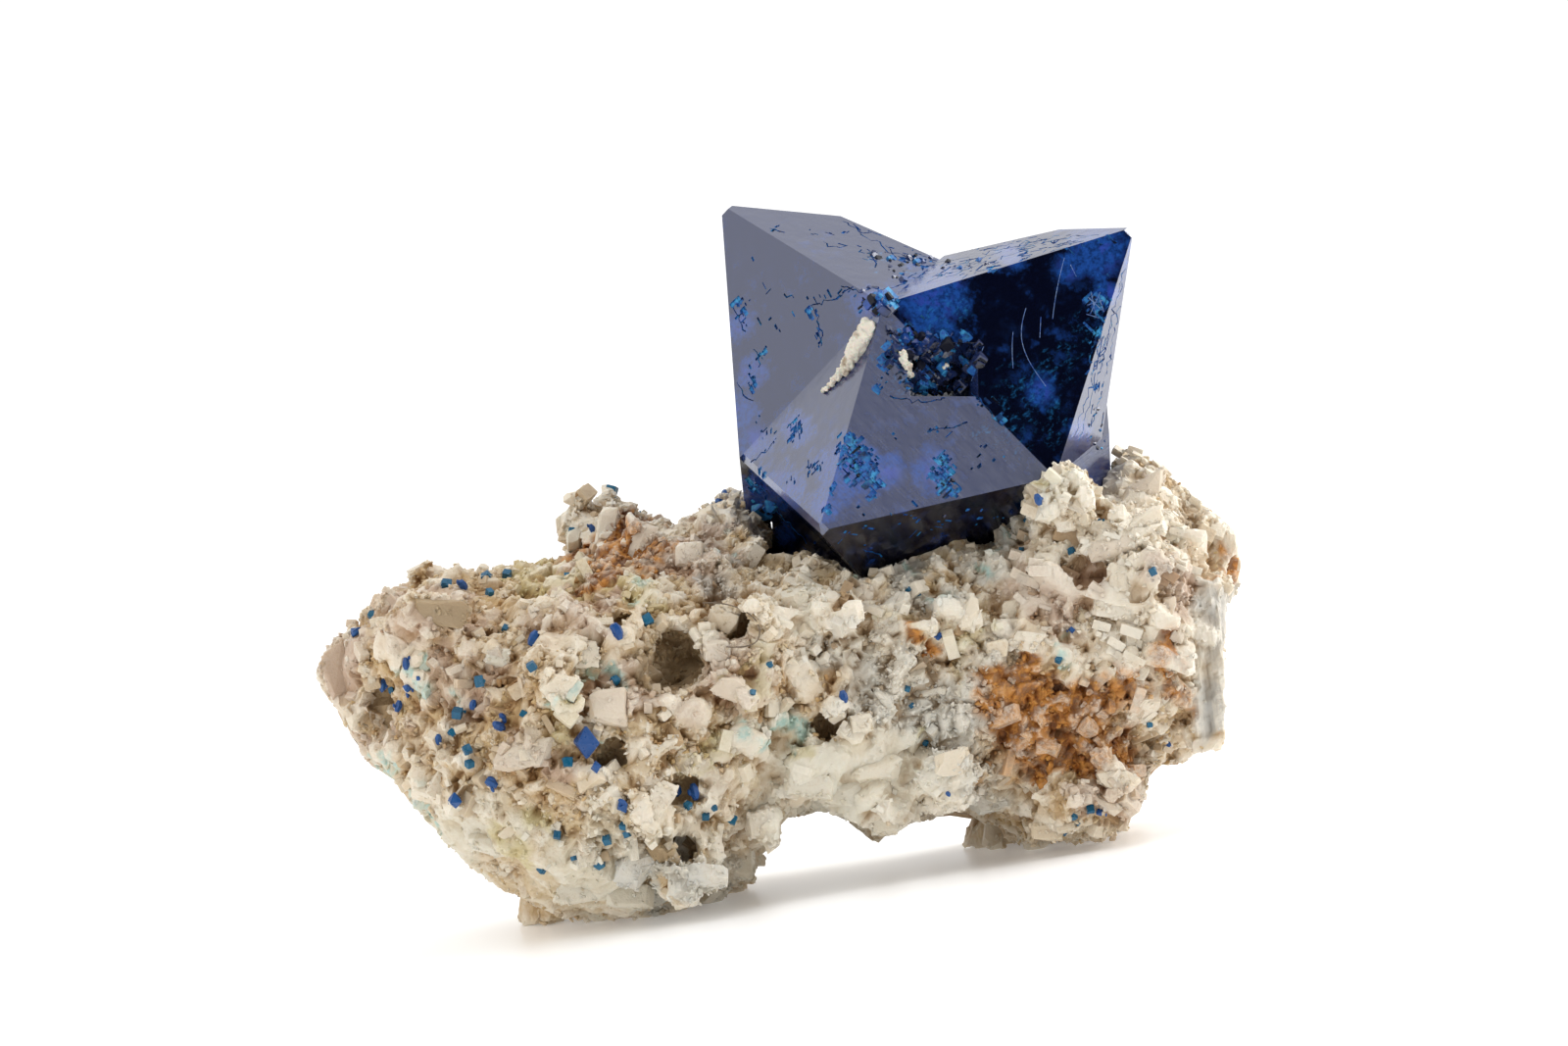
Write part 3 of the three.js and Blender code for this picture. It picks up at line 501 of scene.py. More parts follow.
def write_vector(mesh, name, values):
    layer = mesh.attributes.new(name, "FLOAT_VECTOR", "POINT")
    layer.data.foreach_set("vector", np.asarray(values, dtype=np.float32).ravel())


def mesh_from(name, points, faces):
    mesh = bpy.data.meshes.new(name)
    mesh.from_pydata([tuple(point) for point in points], [], faces)
    mesh.update()
    mesh.shade_flat()
    return mesh


def applied(piece):
    """The piece's mesh with its modifiers made real."""
    bpy.context.view_layer.update()
    evaluated = piece.evaluated_get(bpy.context.evaluated_depsgraph_get())
    return bpy.data.meshes.new_from_object(evaluated)


def remeshed(sources, voxel):
    """One even skin of small squares around meshes that may overlap."""
    together = bmesh.new()
    for source in sources:
        together.from_mesh(source)
    whole = bpy.data.meshes.new("remesh_helper")
    together.to_mesh(whole)
    together.free()
    helper = new_piece("remesh_helper", whole)
    remesh = helper.modifiers.new("Voxels", "REMESH")
    remesh.mode = "VOXEL"
    remesh.voxel_size = voxel
    mesh = applied(helper)
    bpy.data.objects.remove(helper)
    bpy.data.meshes.remove(whole)
    return mesh


def tree_of(mesh):
    mesh.calc_loop_triangles()
    corners = [tuple(triangle.vertices) for triangle in mesh.loop_triangles]
    return BVHTree.FromPolygons([vertex.co.copy() for vertex in mesh.vertices], corners)


def met_from_front(tree, px, py):
    """Where a pixel of the picture falls on a mesh, and the way the mesh faces there."""
    hit, normal, _, _ = tree.ray_cast(from_pixel(px, py, FAR_IN_FRONT), AWAY)
    return (None, None) if hit is None else (np.array(hit), np.array(normal))


def nearest_two(points, seeds):
    """For each point: the nearest seed, and how much farther the second nearest is."""
    tree = KDTree(len(seeds))
    for index, seed in enumerate(seeds):
        tree.insert(seed, index)
    tree.balance()
    nearest = np.empty(len(points), dtype=int)
    margin = np.empty(len(points))
    for index, point in enumerate(points):
        (_, first, near), (_, _, far) = tree.find_n(point, 2)
        nearest[index] = first
        margin[index] = far - near
    return nearest, margin


def grown_cells(points, voxel, spacing, rng):
    """Random growth cells over a surface: the cell of each point, its own numbers and its seam."""
    count = max(8, int(len(points) * (voxel / spacing) ** 2))
    seeds = points[rng.choice(len(points), count, replace=False)]
    nearest, margin = nearest_two(points, seeds)
    tilt = rng.normal(size=(count, 3))
    tilt /= np.linalg.norm(tilt, axis=1)[:, None]
    slant = np.einsum("ij,ij->i", points - seeds[nearest], tilt[nearest])
    return nearest, margin, slant, rng.random(count)


class Finish:
    """A material being built: short ways to add and join its nodes."""

    def __init__(self, name):
        self.material = bpy.data.materials.new(name)
        self.material.use_nodes = True
        self.tree = self.material.node_tree
        self.shader = self.tree.nodes["Principled BSDF"]

    def node(self, kind, **settings):
        made = self.tree.nodes.new(kind)
        for key, value in settings.items():
            setattr(made, key, value)
        return made

    def join(self, source, target):
        self.tree.links.new(source, target)

    def feed(self, socket, value):
        if isinstance(value, bpy.types.NodeSocket):
            self.join(value, socket)
        else:
            socket.default_value = value

    def number(self, name):
        return self.node("ShaderNodeAttribute", attribute_name=name).outputs["Fac"]

    def vector(self, name):
        return self.node("ShaderNodeAttribute", attribute_name=name).outputs["Vector"]

    def place(self):
        return self.node("ShaderNodeTexCoord").outputs["Object"]

    def stretched(self, vector, scale):
        mapping = self.node("ShaderNodeMapping")
        self.join(vector, mapping.inputs["Vector"])
        mapping.inputs["Scale"].default_value = scale
        return mapping.outputs["Vector"]

    def noise(self, vector, scale, detail=4.0, rough=0.55):
        made = self.node("ShaderNodeTexNoise")
        self.join(vector, made.inputs["Vector"])
        made.inputs["Scale"].default_value = scale
        made.inputs["Detail"].default_value = detail
        made.inputs["Roughness"].default_value = rough
        return made.outputs["Fac"]

    def sums(self, kind, first, second):
        made = self.node("ShaderNodeMath", operation=kind)
        for socket, value in zip(made.inputs, (first, second)):
            self.feed(socket, value)
        return made.outputs[0]

    def times(self, first, second):
        return self.sums("MULTIPLY", first, second)

    def plus(self, first, second):
        return self.sums("ADD", first, second)

    def band(self, value, low, high, bottom=0.0, top=1.0):
        made = self.node("ShaderNodeMapRange", interpolation_type="SMOOTHSTEP")
        self.feed(made.inputs["Value"], value)
        limits = {"From Min": low, "From Max": high, "To Min": bottom, "To Max": top}
        for key, limit in limits.items():
            made.inputs[key].default_value = limit
        return made.outputs["Result"]

    def blend(self, share, first, second, kind="MIX"):
        made = self.node("ShaderNodeMix", data_type="RGBA", blend_type=kind)
        self.feed(made.inputs["Factor"], share)
        for socket, value in ((made.inputs["A"], first), (made.inputs["B"], second)):
            self.feed(socket, value)
        return made.outputs["Result"]

    def bump(self, height, distance, strength=1.0):
        made = self.node("ShaderNodeBump")
        self.join(height, made.inputs["Height"])
        made.inputs["Distance"].default_value = distance
        made.inputs["Strength"].default_value = strength
        self.join(made.outputs["Normal"], self.shader.inputs["Normal"])

    def set(self, **values):
        for key, value in values.items():
            self.feed(self.shader.inputs[key.replace("_", " ")], value)


def mix_colour(finish, share, first, second, kind="MIX"):
    """Blends two colours, each a socket or a list of three or four numbers."""
    values = []
    for value in (first, second):
        values.append(value if isinstance(value, bpy.types.NodeSocket) else (*value[:3], 1.0))
    return finish.blend(share, *values, kind=kind)


# How strongly each zone's colour covers the rock's own
ZONE_STRENGTHS = (
    ("tan", 0.72), ("pale", 0.85), ("pink", 0.8), ("green", 0.65), ("grey", 0.75), ("yellow", 0.65),
    ("slab", 0.9),
)


def stained_by_zones(finish, colours, colour, broad, fine):
    """Lays the zones' colours over the rock's own, each in its ragged share."""
    for zone, strength in ZONE_STRENGTHS:
        patchy = finish.band(broad, 0.3, 0.6, 0.5 * strength, strength)
        share = finish.times(finish.number(zone), patchy)
        colour = mix_colour(finish, share, colour, getattr(colours, zone))
    clean = finish.times(finish.number("crystal"), 0.4)
    colour = mix_colour(finish, clean, colour, colours.white)
    stained = finish.times(finish.number("teal"), finish.band(fine, 0.35, 0.6, 0.2, 0.9))
    colour = mix_colour(finish, stained, colour, colours.teal)
    rust_dapple = mix_colour(finish, finish.band(fine, 0.38, 0.62), colours.rust, colours.ochre)
    rust_share = finish.times(finish.number("rust"), finish.band(fine, 0.25, 0.5, 0.6, 1.0))
    return mix_colour(finish, rust_share, colour, rust_dapple)


def rock_finish(name, colours, roughness=0.75):
    """The grown mass of the rock: cream and white crystals, stained by zones, brown in the vugs, with
    painted shade in its creases, seams and hollows and a painted highlight on its tops.
    """
    finish = Finish(name)
    place = finish.place()
    crystal = finish.number("crystal")
    hill = finish.number("hill")
    sugar = finish.noise(place, 9000.0, 3.0, 0.7)
    fine = finish.noise(place, 2600.0, 6.0, 0.6)
    broad = finish.noise(place, 480.0, 4.0, 0.55)
    streaks = finish.noise(finish.stretched(place, (3800.0, 3800.0, 260.0)), 1.0, 4.0, 0.6)
    tone = finish.band(finish.number("tone"), 0.15, 0.85)
    colour = mix_colour(finish, tone, colours.cream, colours.white)
    colour = mix_colour(finish, finish.band(broad, 0.48, 0.68, 0.0, 0.6), colour, colours.tan)
    off_crystals = finish.band(crystal, 0.2, 0.9, 1.0, 0.25)
    grainy = finish.times(finish.band(sugar, 0.5, 0.66, 0.0, 0.6), off_crystals)
    colour = mix_colour(finish, grainy, colour, colours.tan)
    colour = stained_by_zones(finish, colours, colour, broad, fine)
    streaky = finish.times(finish.number("slab"), finish.band(streaks, 0.42, 0.62, 0.0, 0.4))
    colour = mix_colour(finish, streaky, colour, colours.pale)
    # Creases, where hill is low, are darkened with tan: painted shade.
    colour = mix_colour(finish, finish.band(hill, -0.1, -1.3, 0.0, 0.6), colour, colours.tan, "MULTIPLY")
    # Broad hollows, where basin is low, are darkened with the seam colour: painted shade.
    low = finish.band(finish.number("basin"), -0.1, -0.9, 0.0, 0.4)
    colour = mix_colour(finish, low, colour, colours.seam, "MULTIPLY")
    deep = finish.times(finish.number("hollow"), 0.75)
    colour = mix_colour(finish, deep, colour, colours.hollow)
    # Seams between the growth cells and the corners round the grown blocks are darkened: painted shade.
    painted_seam_shade = finish.times(finish.number("seam"), 0.35)
    colour = mix_colour(finish, painted_seam_shade, colour, colours.seam, "MULTIPLY")
    # Convex tops, where hill is high, are lightened in grainy patches: painted highlight.
    painted_top_highlight = finish.times(finish.band(hill, 0.2, 1.2, 0.0, 0.45), finish.band(sugar, 0.35, 0.6, 0.3, 1.0))
    colour = mix_colour(finish, painted_top_highlight, colour, colours.pale)
    finish.set(Base_Color=colour, Subsurface_Weight=0.3, Subsurface_Scale=0.3 * MM)
    finish.shader.inputs["Subsurface Radius"].default_value = (1.0, 0.85, 0.7)
    rough = finish.band(fine, 0.3, 0.8, roughness - 0.2, roughness + 0.1)
    finish.set(Roughness=finish.sums("SUBTRACT", rough, finish.times(crystal, 0.2)))
    grit = finish.plus(finish.times(fine, 0.6), sugar)
    grit = finish.plus(grit, finish.times(streaks, finish.number("slab")))
    finish.bump(grit, 0.06 * MM, 0.7)
    return finish.material


def patch_mask(finish, seen, patches, ragged):
    """How near a point is to any of the named patches, with a ragged edge."""
    strongest = None
    for px, py, reach in patches:
        x = (px - PICTURE_MIDDLE[0]) * MM_PER_PIXEL
        z = (PICTURE_MIDDLE[1] - py) * MM_PER_PIXEL
        distance = finish.node("ShaderNodeVectorMath", operation="DISTANCE")
        finish.join(seen, distance.inputs[0])
        distance.inputs[1].default_value = (x, 0.0, z)
        share = finish.sums("DIVIDE", distance.outputs["Value"], reach * MM_PER_PIXEL)
        share = finish.plus(share, ragged)
        near = finish.band(share, 0.5, 1.5, 1.0, 0.0)
        strongest = near if strongest is None else finish.sums("MAXIMUM", strongest, near)
    return strongest


def flat_view(finish):
    """The front view's place of a point, with its depth taken out."""
    drop = finish.node("ShaderNodeVectorMath", operation="MULTIPLY")
    finish.join(finish.vector("front_view"), drop.inputs[0])
    drop.inputs[1].default_value = (1.0, 0.0, 1.0)
    return drop.outputs["Vector"]


def star_finish(settings, name, gloss):
    """Glassy crystal, navy to black, with blue clouds and growth lines and painted shade on the faces marked
    as shaded; gloss is its refractive index.
    """
    finish = Finish(name)
    star = finish.vector("star")
    seen = flat_view(finish)
    clouds = finish.noise(star, 0.5, 4.0, 0.55)
    mottle = finish.noise(star, 1.9, 6.0, 0.62)
    crumbs = finish.noise(star, 6.5, 6.0, 0.75)
    fibres = finish.noise(finish.stretched(star, (5.0, 2.6, 3.4)), 1.0, 6.0, 0.75)
    ragged = finish.band(mottle, 0.25, 0.75, -0.6, 0.6)
    # Faces marked as shaded turn navy: painted shade.
    colour = mix_colour(finish, finish.number("shaded_face"), settings.deep, settings.navy)
    haze = finish.times(finish.band(mottle, 0.5, 0.75, 0.0, 0.45), finish.band(clouds, 0.42, 0.62))
    colour = mix_colour(finish, haze, colour, settings.royal)
    royal = patch_mask(finish, seen, ROYAL_PATCHES, ragged)
    dappled = finish.times(royal, finish.band(crumbs, 0.34, 0.62, 0.25, 0.9))
    colour = mix_colour(finish, dappled, colour, settings.royal)
    violet = finish.times(royal, finish.band(mottle, 0.5, 0.62, 0.0, 0.6))
    colour = mix_colour(finish, violet, colour, settings.violet)
    wispy = patch_mask(finish, seen, WISPY_PATCHES, ragged)
    wisps = finish.times(wispy, finish.band(fibres, 0.5, 0.72, 0.0, 0.7))
    colour = mix_colour(finish, wisps, colour, settings.turquoise)
    finish.set(Base_Color=colour, IOR=gloss)
    smooth = finish.band(mottle, 0.3, 0.8, 0.10, 0.22)
    smooth = finish.sums("SUBTRACT", smooth, finish.times(finish.number("shaded_face"), 0.06))
    finish.set(Roughness=smooth)
    growth = finish.plus(finish.noise(star, 1.1, 2.0), finish.times(mottle, 0.5))
    for scale in ((16.0, 0.6, 0.6), (0.6, 16.0, 0.6), (0.6, 0.6, 16.0)):
        fine_lines = finish.noise(finish.stretched(star, scale), 1.0, 3.0)
        growth = finish.plus(growth, finish.times(fine_lines, 0.14))
    finish.bump(growth, 0.04 * MM, 0.45)
    return finish.material


def etched_finish(settings):
    """The dull insides of the etched places: turquoise and royal crumbs, navy where they are deepest."""
    finish = Finish("etched_crystal")
    star = finish.vector("star")
    depth = finish.number("depth")
    crumbs = finish.noise(star, 6.5, 6.0, 0.75)
    patches = finish.noise(star, 2.4, 3.0, 0.6)
    colour = mix_colour(finish, finish.band(crumbs, 0.42, 0.58), settings.royal, settings.turquoise)
    colour = mix_colour(finish, finish.band(patches, 0.5, 0.66), colour, settings.glint)
    colour = mix_colour(finish, finish.band(crumbs, 0.44, 0.36), colour, settings.navy)
    colour = mix_colour(finish, finish.band(depth, 0.05, 0.09), colour, settings.navy)
    finish.set(Base_Color=colour, IOR=1.35, Roughness=finish.band(crumbs, 0.3, 0.7, 0.3, 0.6))
    finish.bump(crumbs, 0.03 * MM, 0.6)
    return finish.material


def small_crystal_finish(name, colour, pale):
    """The little crystals: bright glassy blue, finely grooved along their length."""
    finish = Finish(name)
    place = finish.place()
    mottle = finish.noise(place, 4200.0, 5.0, 0.6)
    tone = finish.number("tone")
    base = mix_colour(finish, finish.band(tone, 0.0, 1.0, 0.0, 0.3), colour, pale)
    base = mix_colour(finish, finish.band(mottle, 0.52, 0.75, 0.0, 0.5), base, pale)
    finish.set(Base_Color=base, IOR=1.5, Roughness=finish.band(mottle, 0.3, 0.8, 0.25, 0.6))
    grooves = finish.noise(finish.stretched(place, (9000.0, 9000.0, 900.0)), 1.0, 3.0)
    finish.bump(finish.plus(mottle, grooves), 0.04 * MM, 0.8)
    return finish.material


def white_finish(settings):
    """The chalky white bits: cream with grey-brown pores."""
    finish = Finish("white_mineral")
    place = finish.place()
    grain = finish.noise(place, 5200.0, 6.0, 0.65)
    pores = finish.noise(place, 1900.0, 4.0)
    colour = mix_colour(finish, finish.band(pores, 0.5, 0.72), settings.chalk, settings.pore)
    finish.set(Base_Color=colour, Roughness=finish.band(grain, 0.3, 0.8, 0.55, 0.85))
    finish.set(Subsurface_Weight=0.2, Subsurface_Scale=0.2 * MM)
    finish.bump(grain, 0.03 * MM, 0.8)
    return finish.material


def lint_finish(colour):
    finish = Finish("lint")
    streak = finish.noise(finish.place(), 3000.0, 3.0)
    darker = [channel * 0.6 for channel in colour[:3]]
    finish.set(Base_Color=mix_colour(finish, streak, colour, darker), Roughness=0.8)
    finish.bump(streak, 0.01 * MM, 0.4)
    return finish.material


def hull_shape(points):
    """The corners and faces of the tightest skin around some points."""
    mesh = bmesh.new()
    for point in points:
        mesh.verts.new(point)
    bmesh.ops.convex_hull(mesh, input=mesh.verts)
    loose = [vertex for vertex in mesh.verts if not vertex.link_faces]
    bmesh.ops.delete(mesh, geom=loose, context="VERTS")
    bmesh.ops.recalc_face_normals(mesh, faces=mesh.faces)
    mesh.verts.index_update()
    shape = (
        np.array([vertex.co[:] for vertex in mesh.verts]),
        [tuple(vertex.index for vertex in face.verts) for face in mesh.faces],
    )
    mesh.free()
    return shape


def blade_shape(rng):
    """A plain slab with uneven corners."""
    corners = [np.array(signs) * 2.0 - 1.0 for signs in np.ndindex(2, 2, 2)]
    return hull_shape([corner * (1 - 0.3 * rng.random(3)) for corner in corners])


def block_shape(rng, chamfer):
    """A box with worn edges, a little skewed."""
    points = []
    for signs in np.ndindex(2, 2, 2):
        corner = np.array(signs) * 2.0 - 1.0
        for axis in range(3):
            point = corner.copy()
            point[axis] *= 1 - chamfer * rng.uniform(0.4, 2.2)
            others = [other for other in range(3) if other != axis]
            point[others] *= 1 - 0.25 * chamfer
            points.append(point * (1 - 0.12 * rng.random(3)))
    return hull_shape(points)


def grain_shape(rng):
    """A rough grain with a dozen flat sides."""
    points = rng.normal(size=(11, 3))
    return hull_shape(points / np.linalg.norm(points, axis=1)[:, None])


def point_shape(rng):
    """A six-sided crystal with a pointed end, growing along z."""
    points = []
    for turn in range(6):
        angle = math.radians(60 * turn)
        for height in (-1.0, 0.5 + 0.25 * rng.random()):
            points.append((0.5 * math.cos(angle), 0.5 * math.sin(angle), height))
    points.append((0.06, 0.04, 1.15))
    return hull_shape(points)


def double_pyramid_shape(rng):
    """An eight-faced crystal with its points and edges slightly cut."""
    points = []
    for axis in range(3):
        for sign in (-1, 1):
            tip = np.zeros(3)
            tip[axis] = sign
            for other in range(3):
                if other == axis:
                    continue
                for side in (-1, 1):
                    point = tip * (0.9 - 0.05 * rng.random())
                    point[other] = side * 0.09
                    points.append(point)
    return hull_shape(points)


def cube_shape(rng):
    return block_shape(rng, 0.2)


def barrel_shape(rng):
    """A six-sided crystal that narrows to a blunt end at both ends."""
    points = []
    waist = rng.uniform(0.3, 0.55)
    for turn in range(6):
        angle = math.radians(60 * turn)
        for height, radius in ((-1.0, 0.36), (-waist, 0.66), (waist, 0.66), (1.0, 0.36)):
            reach = radius * rng.uniform(0.92, 1.08)
            points.append((reach * math.cos(angle), reach * math.sin(angle), height))
    return hull_shape(points)


def worn_shape(rng):
    """A lump between a box and a ball, with uneven flats."""
    ways = rng.normal(size=(22, 3))
    ways /= np.linalg.norm(ways, axis=1)[:, None]
    return hull_shape(np.sign(ways) * np.abs(ways) ** 0.5 * rng.uniform(0.82, 1.08, size=(22, 1)))


def turn_to(normal, rng, wobble):
    """A turn that takes z to a normal, tipped by a random amount and spun at random."""
    way = Vector(normal) + Vector(rng.normal(size=3)) * wobble
    spin = Matrix.Rotation(rng.uniform(0, 2 * math.pi), 3, "Z")
    return np.array(way.to_track_quat("Z", "Y").to_matrix() @ spin)


def joined(name, shapes, placements):
    """One mesh from many placed shapes. A placement is a shape's number, a turn, a scale and a middle."""
    points = []
    faces = []
    owners = []
    start = 0
    for owner, (kind, turn, scale, middle) in enumerate(placements):
        corners, sides = shapes[kind]
        points.append((corners * np.asarray(scale)) @ np.asarray(turn).T + np.asarray(middle))
        faces.extend(tuple(start + corner for corner in side) for side in sides)
        owners.append(np.full(len(corners), owner))
        start += len(corners)
    return mesh_from(name, np.concatenate(points), faces), np.concatenate(owners)


def sample_surface(mesh, count, rng):
    """Random places on a mesh, even by area: points, normals and the nearest vertex."""
    mesh.calc_loop_triangles()
    corners = np.empty(len(mesh.loop_triangles) * 3, dtype=np.int32)
    mesh.loop_triangles.foreach_get("vertices", corners)
    corners = corners.reshape(-1, 3)
    points = coordinates(mesh)
    a, b, c = (points[corners[:, side]] for side in range(3))
    cross = np.cross(b - a, c - a)
    area = np.linalg.norm(cross, axis=1)
    chosen = rng.choice(len(corners), count, p=area / area.sum())
    first, second = np.sqrt(rng.random(count)), rng.random(count)
    shares = np.stack([1 - first, first * (1 - second), first * second], axis=1)
    places = sum(points[corners[chosen, side]] * shares[:, side, None] for side in range(3))
    smooth = normals_of(mesh)[corners[chosen, 0]]
    return places, smooth, corners[chosen, 0]


SHAPE_ZONES = ("smooth", "druse")
OWN_NUMBERS = ("tone", "seam", "hill", "basin", "crystal", "slab")
ROCK_NUMBERS = OWN_NUMBERS + tuple(name for name in ZONES if name not in SHAPE_ZONES)


def paint_rock(mesh, weights, numbers):
    for name in ROCK_NUMBERS:
        write_number(mesh, name, numbers[name] if name in numbers else weights[name])


def close_to_star(points, star):
    """Draws the rock up to the big crystals, so that they grow out of it with no gap."""
    moved = points.copy()
    reach = 0.75 * MM
    for index, point in enumerate(points):
        hit, normal, _, distance = star.find_nearest(Vector(point), reach)
        if hit is None:
            continue
        share = 1 - max(0.0, (distance - 0.4 * MM) / (reach - 0.4 * MM))
        moved[index] += (np.array(hit - normal * 0.03 * MM) - point) * share * share
    return moved


def below_shown_edge(points, star):
    """The points, with those in front of the big crystals pressed down to their shown lower edge."""
    px, py = to_pixels(points)
    edge = np.array(SHOWN_EDGE, dtype=float)
    limit = np.interp(px, edge[:, 0], edge[:, 1]) + 2 * ripple(points, 0.5 * MM, 16)
    above = np.flatnonzero((px > edge[0, 0]) & (px < edge[-1, 0]) & (py < limit))
    down = np.array(LEAN @ Vector((0, 0, -1))) * MM_PER_PIXEL * MM
    moved = points.copy()
    for index in above:
        if star.ray_cast(Vector(points[index]), AWAY)[0] is not None:
            moved[index] += down * (limit[index] - py[index])
    return moved


def evened(mesh, points, rounds):
    """The mesh's points after each has been moved to the middle of its neighbours a number of times."""
    edges = np.empty(len(mesh.edges) * 2, dtype=np.int32)
    mesh.edges.foreach_get("vertices", edges)
    first, second = edges.reshape(-1, 2).T
    count = len(points)
    degree = np.bincount(first, minlength=count) + np.bincount(second, minlength=count)
    smooth = points.copy()
    for _ in range(rounds):
        total = np.zeros_like(smooth)
        for axis in range(3):
            total[:, axis] += np.bincount(first, smooth[second, axis], count)
            total[:, axis] += np.bincount(second, smooth[first, axis], count)
        smooth = total / np.maximum(degree, 1)[:, None]
    return smooth


def filled(mesh, points, normals, weights):
    """The points with the deep gaps between lumps and crystals partly filled, most in the smooth places."""
    level = evened(mesh, points, 120)
    sunk = np.einsum("ij,ij->i", level - points, normals) > 0
    share = 0.5 + 0.4 * weights["smooth"]
    return points + (level - points) * (share * sunk)[:, None]


def rock_relief(points, weights, crystal, voxel, rng):
    """How far the surface stands out at each point, the cells' tones and the depth of the seams, which sets
    their painted shade.
    """
    big, big_margin, big_slant, big_value = grown_cells(points, voxel, 1.0 * MM, rng)
    small, small_margin, small_slant, small_value = grown_cells(points, voxel, 0.42 * MM, rng)
    flat = np.maximum(weights["smooth"], weights["slab"])
    calm = (1 - 0.85 * flat) * (1 - 0.92 * crystal)
    relief = calm * (0.24 * MM * (big_value[big] - 0.5) + 0.26 * np.clip(big_slant, -0.5 * MM, 0.5 * MM))
    relief += calm * (0.16 * MM * (small_value[small] - 0.5) + 0.30 * small_slant)
    seam_big = np.exp(-(big_margin / (0.15 * MM)) ** 2)
    seam_small = np.exp(-(small_margin / (0.09 * MM)) ** 2)
    relief -= calm * (0.14 * MM * seam_big + 0.06 * MM * seam_small)
    swell = 0.16 * MM * ripple(points, 3.4 * MM, 10) + 0.10 * MM * ripple(points, 1.6 * MM, 11)
    relief += swell * (1 - 0.7 * weights["slab"])
    grit = np.clip(rng.normal(size=len(points)), -2, 2)
    relief += (1 - 0.8 * crystal) * (1 - 0.5 * flat) * 0.035 * MM * grit
    upright = in_front_view(points) * np.array([1.0, 1.0, 0.05]) * MM
    flutes = 0.09 * MM * ripple(upright, 0.6 * MM, 13) + 0.04 * MM * ripple(upright, 0.25 * MM, 14)
    relief += weights["slab"] * flutes
    relief -= 0.5 * MM * weights["hollow"]
    seam = np.clip(calm * (0.7 * seam_big + 0.4 * seam_small), 0, 1)
    tone = 0.55 * big_value[big] + 0.45 * small_value[small]
    return relief, tone, seam


def grown_blocks(look, star, rng):
    """Pale crystals half sunk in the rock, as one mesh, with a tone for each."""
    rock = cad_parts["matrix_rock"].data
    places, normals, _ = sample_surface(rock, look.blocks * 3, rng)
    weights = zone_weights(places)
    seen = in_front_view(places)
    shapes = [block_shape(rng, 0.2) for _ in range(10)] + [point_shape(rng) for _ in range(3)]
    placements = []
    for index, place in enumerate(places):
        if len(placements) >= look.blocks:
            break
        bare = sum(weights[zone][index] for zone in ("smooth", "slab", "rust", "grey", "hollow"))
        if rng.random() < bare:
            continue
        if place[2] < 0.4 * MM or not clear_of_star(star, place, 0.5 * MM):
            continue
        size = (0.15 + (0.4 - 0.28 * max(0.0, normals[index][2])) * rng.random() ** 2.6) * MM
        scale = np.array([rng.uniform(0.9, 1.9), rng.uniform(0.55, 0.9), rng.uniform(0.45, 0.85)]) * size
        turn = laid(place, normals[index], seen[index], rng)
        placements.append((rng.integers(len(shapes)), turn, scale, place + normals[index] * size * 0.12))
    mesh, owners = joined("grown_blocks", shapes, placements)
    return mesh, owners, 0.45 + 0.55 * rng.random(len(placements))


def on_blocks(points, mesh, owners, tones):
    """How far each point belongs to a grown block, its tone, and the painted shade in the corner around it.
    """
    polygons = [tuple(face.vertices) for face in mesh.polygons]
    tree = BVHTree.FromPolygons([vertex.co.copy() for vertex in mesh.vertices], polygons)
    share = np.zeros(len(points))
    tone = np.zeros(len(points))
    corner = np.zeros(len(points))
    for index, point in enumerate(points):
        _, _, face, distance = tree.find_nearest(Vector(point), 0.3 * MM)
        if face is None:
            continue
        share[index] = 1 - min(1.0, max(0.0, distance / MM - 0.07) / 0.06)
        corner[index] = max(0.0, 1 - abs(distance / MM - 0.16) / 0.1)
        tone[index] = tones[owners[polygons[face][0]]]
    return share, tone, corner


